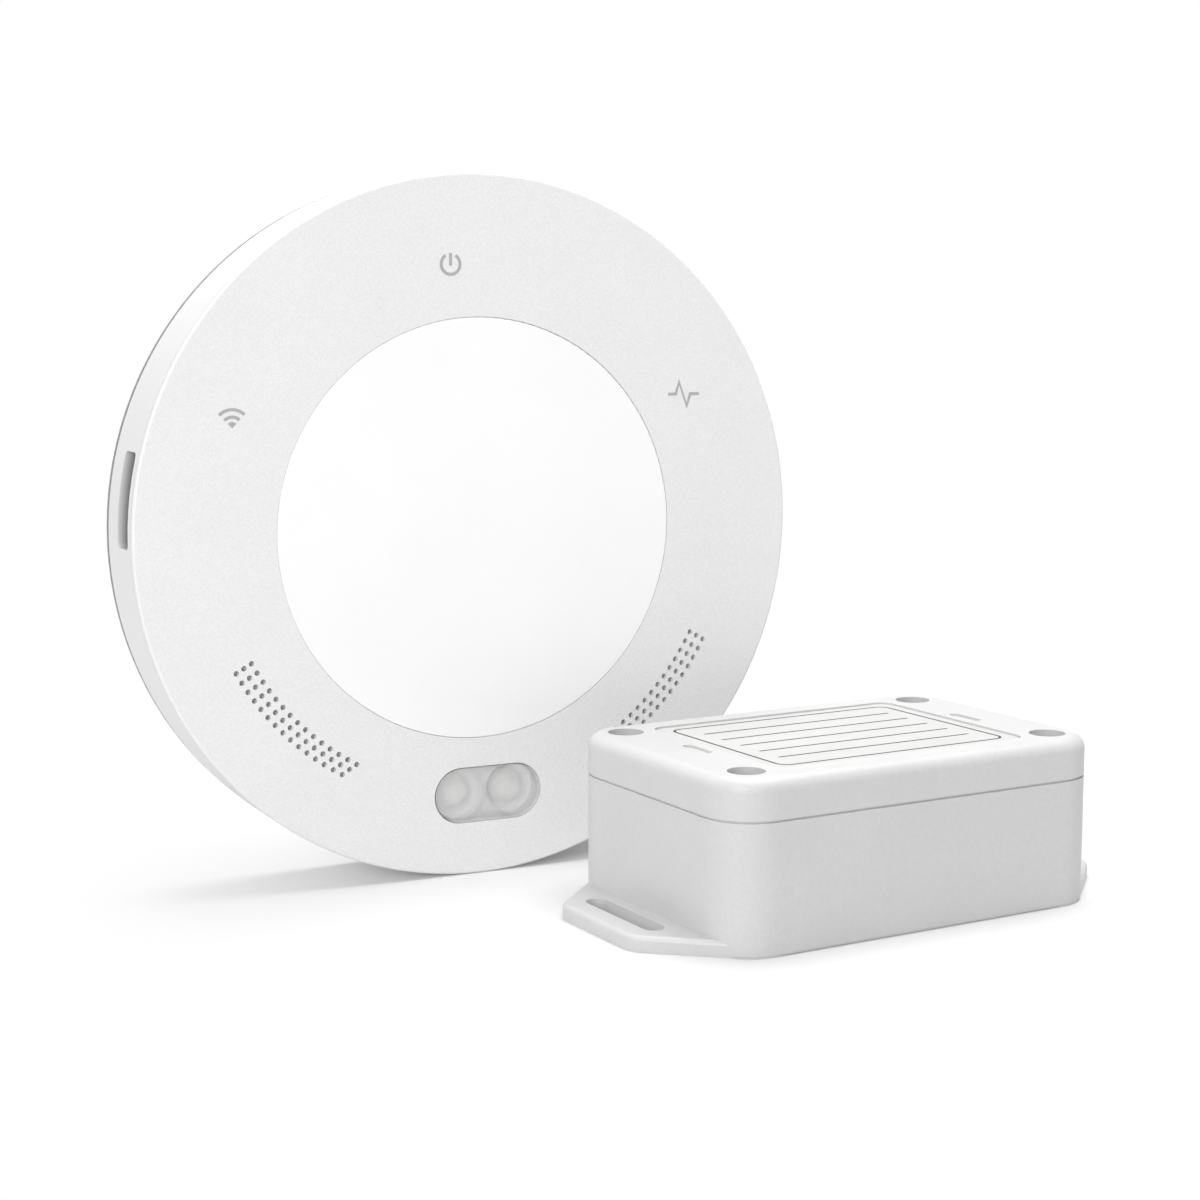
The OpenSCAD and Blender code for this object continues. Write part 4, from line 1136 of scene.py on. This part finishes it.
@dataclass(frozen=True)
class SoftLamp:
    """One soft studio lamp, aimed at the set."""

    name: str
    at: tuple[float, float, float]
    aim: tuple[float, float, float]
    size: float
    watts: float

    def build(self) -> None:
        """Makes the lamp."""
        data = bpy.data.lights.new(self.name, "AREA")
        data.shape = "DISK"
        data.size = self.size * MM
        data.energy = self.watts
        lamp = bpy.data.objects.new(self.name, data)
        bpy.context.scene.collection.objects.link(lamp)
        lamp.location = Vector(self.at) * MM
        away = Vector(self.at) - Vector(self.aim)
        lamp.rotation_euler = away.to_track_quat("Z", "Y").to_euler()


@dataclass(frozen=True)
class PhotoCamera:
    """The camera of the photograph, by its angles and its distance from the controller's face."""

    azimuth: float = -25.99
    elevation: float = 7.66
    distance: float = 383.81
    face_right: float = -20.46
    face_up: float = 12.02
    focal_px: float = 2250.0
    sensor_mm: float = 36.0
    nearest: float = 10.0

    def build(self, face_middle: Vector) -> None:
        """Makes the camera and sets it as the scene's.

        Args:
            face_middle: Middle of the controller's face in the row's frame, in metres.
        """
        turn, rise = math.radians(self.azimuth), math.radians(self.elevation)
        back = Vector(
            (math.sin(turn) * math.cos(rise), -math.cos(turn) * math.cos(rise), math.sin(rise))
        )
        right = Vector((math.cos(turn), math.sin(turn), 0))
        up = back.cross(right)
        offset = back * self.distance - right * self.face_right - up * self.face_up
        data = bpy.data.cameras.new("photo_camera")
        data.sensor_width = self.sensor_mm
        data.lens = self.focal_px / PHOTO_WIDTH_PX * self.sensor_mm
        data.clip_start = self.nearest * MM
        camera = bpy.data.objects.new("photo_camera", data)
        bpy.context.scene.collection.objects.link(camera)
        axes = Matrix((right, up, back)).transposed().to_4x4()
        camera.matrix_world = Matrix.Translation(face_middle + offset * MM) @ axes
        bpy.context.scene.camera = camera


@dataclass
class Studio:
    """A plain white studio: floor, soft lamps, world and camera."""

    camera: PhotoCamera
    lamps: tuple[SoftLamp, ...]
    floor_half: float = 6000.0
    floor_colour: str = "#DADADA"
    floor_patch_colour: str = "#D8D8D8"
    floor_patch_mm: float = 300.0
    # white that is added where the floor is seen, which keeps its shadows pale and puts no light on the set
    floor_glow: float = 0.12
    # the floor goes over into plain white between these distances from the middle of the ground in use,
    # which reaches from the controller to the sensor's far place
    ground_middle: tuple[float, float, float] = (110.0, 0.0, 0.0)
    fade_start: float = 138.0
    fade_end: float = 200.0
    sky_colour: str = "#FFFFFF"
    sky_strength: float = 0.35
    seen_white: float = 1.0

    def build(self, face_middle: Vector) -> None:
        """Builds the studio.

        Args:
            face_middle: Middle of the controller's face in the row's frame, in metres.
        """
        self.camera.build(face_middle)
        for lamp in self.lamps:
            lamp.build()
        self.build_floor()
        self.build_sky()
        bpy.context.scene.view_settings.view_transform = "Standard"

    def seen_directly(self, tree: bpy.types.NodeTree) -> bpy.types.NodeSocket:
        """Tells apart what is seen and what only gives light.

        Args:
            tree: Node tree of the floor or of the world.

        Returns:
            1 where the camera sees it directly, mirrored or through clear plastic, and else 0.
        """
        path = add_node(tree, "ShaderNodeLightPath")
        mirrored = add_node(
            tree,
            "ShaderNodeMath",
            {"operation": "MAXIMUM"},
            {0: path.outputs["Is Glossy Ray"], 1: path.outputs["Is Transmission Ray"]},
        )
        seen = add_node(
            tree,
            "ShaderNodeMath",
            {"operation": "MAXIMUM"},
            {0: path.outputs["Is Camera Ray"], 1: mirrored.outputs[0]},
        )
        return seen.outputs[0]

    def build_floor(self) -> None:
        """Lays a wide pale floor that keeps the shadows and goes over into the white background."""
        shape = bmesh.new()
        bmesh.ops.create_grid(shape, x_segments=1, y_segments=1, size=self.floor_half * MM)
        mesh = bpy.data.meshes.new("studio_floor")
        shape.to_mesh(mesh)
        shape.free()
        floor = bpy.data.objects.new("studio_floor", mesh)
        bpy.context.scene.collection.objects.link(floor)
        made = bpy.data.materials.new("paper_backdrop")
        made.use_nodes = True
        tree = made.node_tree
        tree.nodes.clear()
        where = add_node(tree, "ShaderNodeTexCoord").outputs["Object"]
        patches = add_node(
            tree, "ShaderNodeTexNoise", {"Scale": per_mm(self.floor_patch_mm)}, {"Vector": where}
        ).outputs[0]
        colour = add_node(
            tree,
            "ShaderNodeMix",
            {"data_type": "RGBA", 6: linear(self.floor_patch_colour), 7: linear(self.floor_colour)},
            {0: patches},
        )
        paper = add_node(tree, "ShaderNodeBsdfDiffuse", links={"Color": colour.outputs[2]})
        seen = self.seen_directly(tree)
        lift = add_node(tree, "ShaderNodeMath", {"operation": "MULTIPLY", 1: self.floor_glow}, {0: seen})
        glow = add_node(tree, "ShaderNodeEmission", links={"Strength": lift.outputs[0]})
        near = add_node(tree, "ShaderNodeAddShader", links={0: paper.outputs[0], 1: glow.outputs[0]})
        far = add_node(tree, "ShaderNodeEmission", {"Strength": self.seen_white})
        middle = Vector(self.ground_middle) * MM
        distance = add_node(tree, "ShaderNodeVectorMath", {"operation": "DISTANCE", 1: middle}, {0: where})
        settings = {"From Min": self.fade_start * MM, "From Max": self.fade_end * MM}
        fade = add_node(tree, "ShaderNodeMapRange", settings, {"Value": distance.outputs["Value"]})
        share = add_node(tree, "ShaderNodeMath", {"operation": "MULTIPLY"}, {0: fade.outputs[0], 1: seen})
        whole = add_node(
            tree, "ShaderNodeMixShader", links={0: share.outputs[0], 1: near.outputs[0], 2: far.outputs[0]}
        )
        add_node(tree, "ShaderNodeOutputMaterial", links={"Surface": whole.outputs[0]})
        mesh.materials.append(made)

    def build_sky(self) -> None:
        """Surrounds the set with even light that looks white where it is seen."""
        world = bpy.data.worlds.new("studio_sky")
        bpy.context.scene.world = world
        world.use_nodes = True
        tree = world.node_tree
        tree.nodes.clear()
        light, white = (
            add_node(tree, "ShaderNodeBackground", {"Color": linear(self.sky_colour), "Strength": strength})
            for strength in (self.sky_strength, self.seen_white)
        )
        mix = add_node(
            tree,
            "ShaderNodeMixShader",
            links={0: self.seen_directly(tree), 1: light.outputs[0], 2: white.outputs[0]},
        )
        add_node(tree, "ShaderNodeOutputWorld", links={"Surface": mix.outputs[0]})


def main() -> None:
    """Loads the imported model, dresses both units and sets up the studio."""
    logging.basicConfig(level=logging.INFO, format="%(message)s")
    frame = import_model()
    controller = Controller(signs=FaceSigns())
    sensor = DoorSensor()
    controller.build(frame["nodes"])
    sensor.build(frame["nodes"])
    studio = Studio(
        camera=PhotoCamera(),
        lamps=(
            SoftLamp("lamp_overhead", at=(190, 80, 1080), aim=(0, 0, 40), size=1000, watts=13.4),
            SoftLamp("lamp_left", at=(-900, -800, 420), aim=(0, 0, 50), size=600, watts=8.4),
        ),
    )
    studio.build(controller.face_place().translation)


if __name__ == "__main__":
    main()
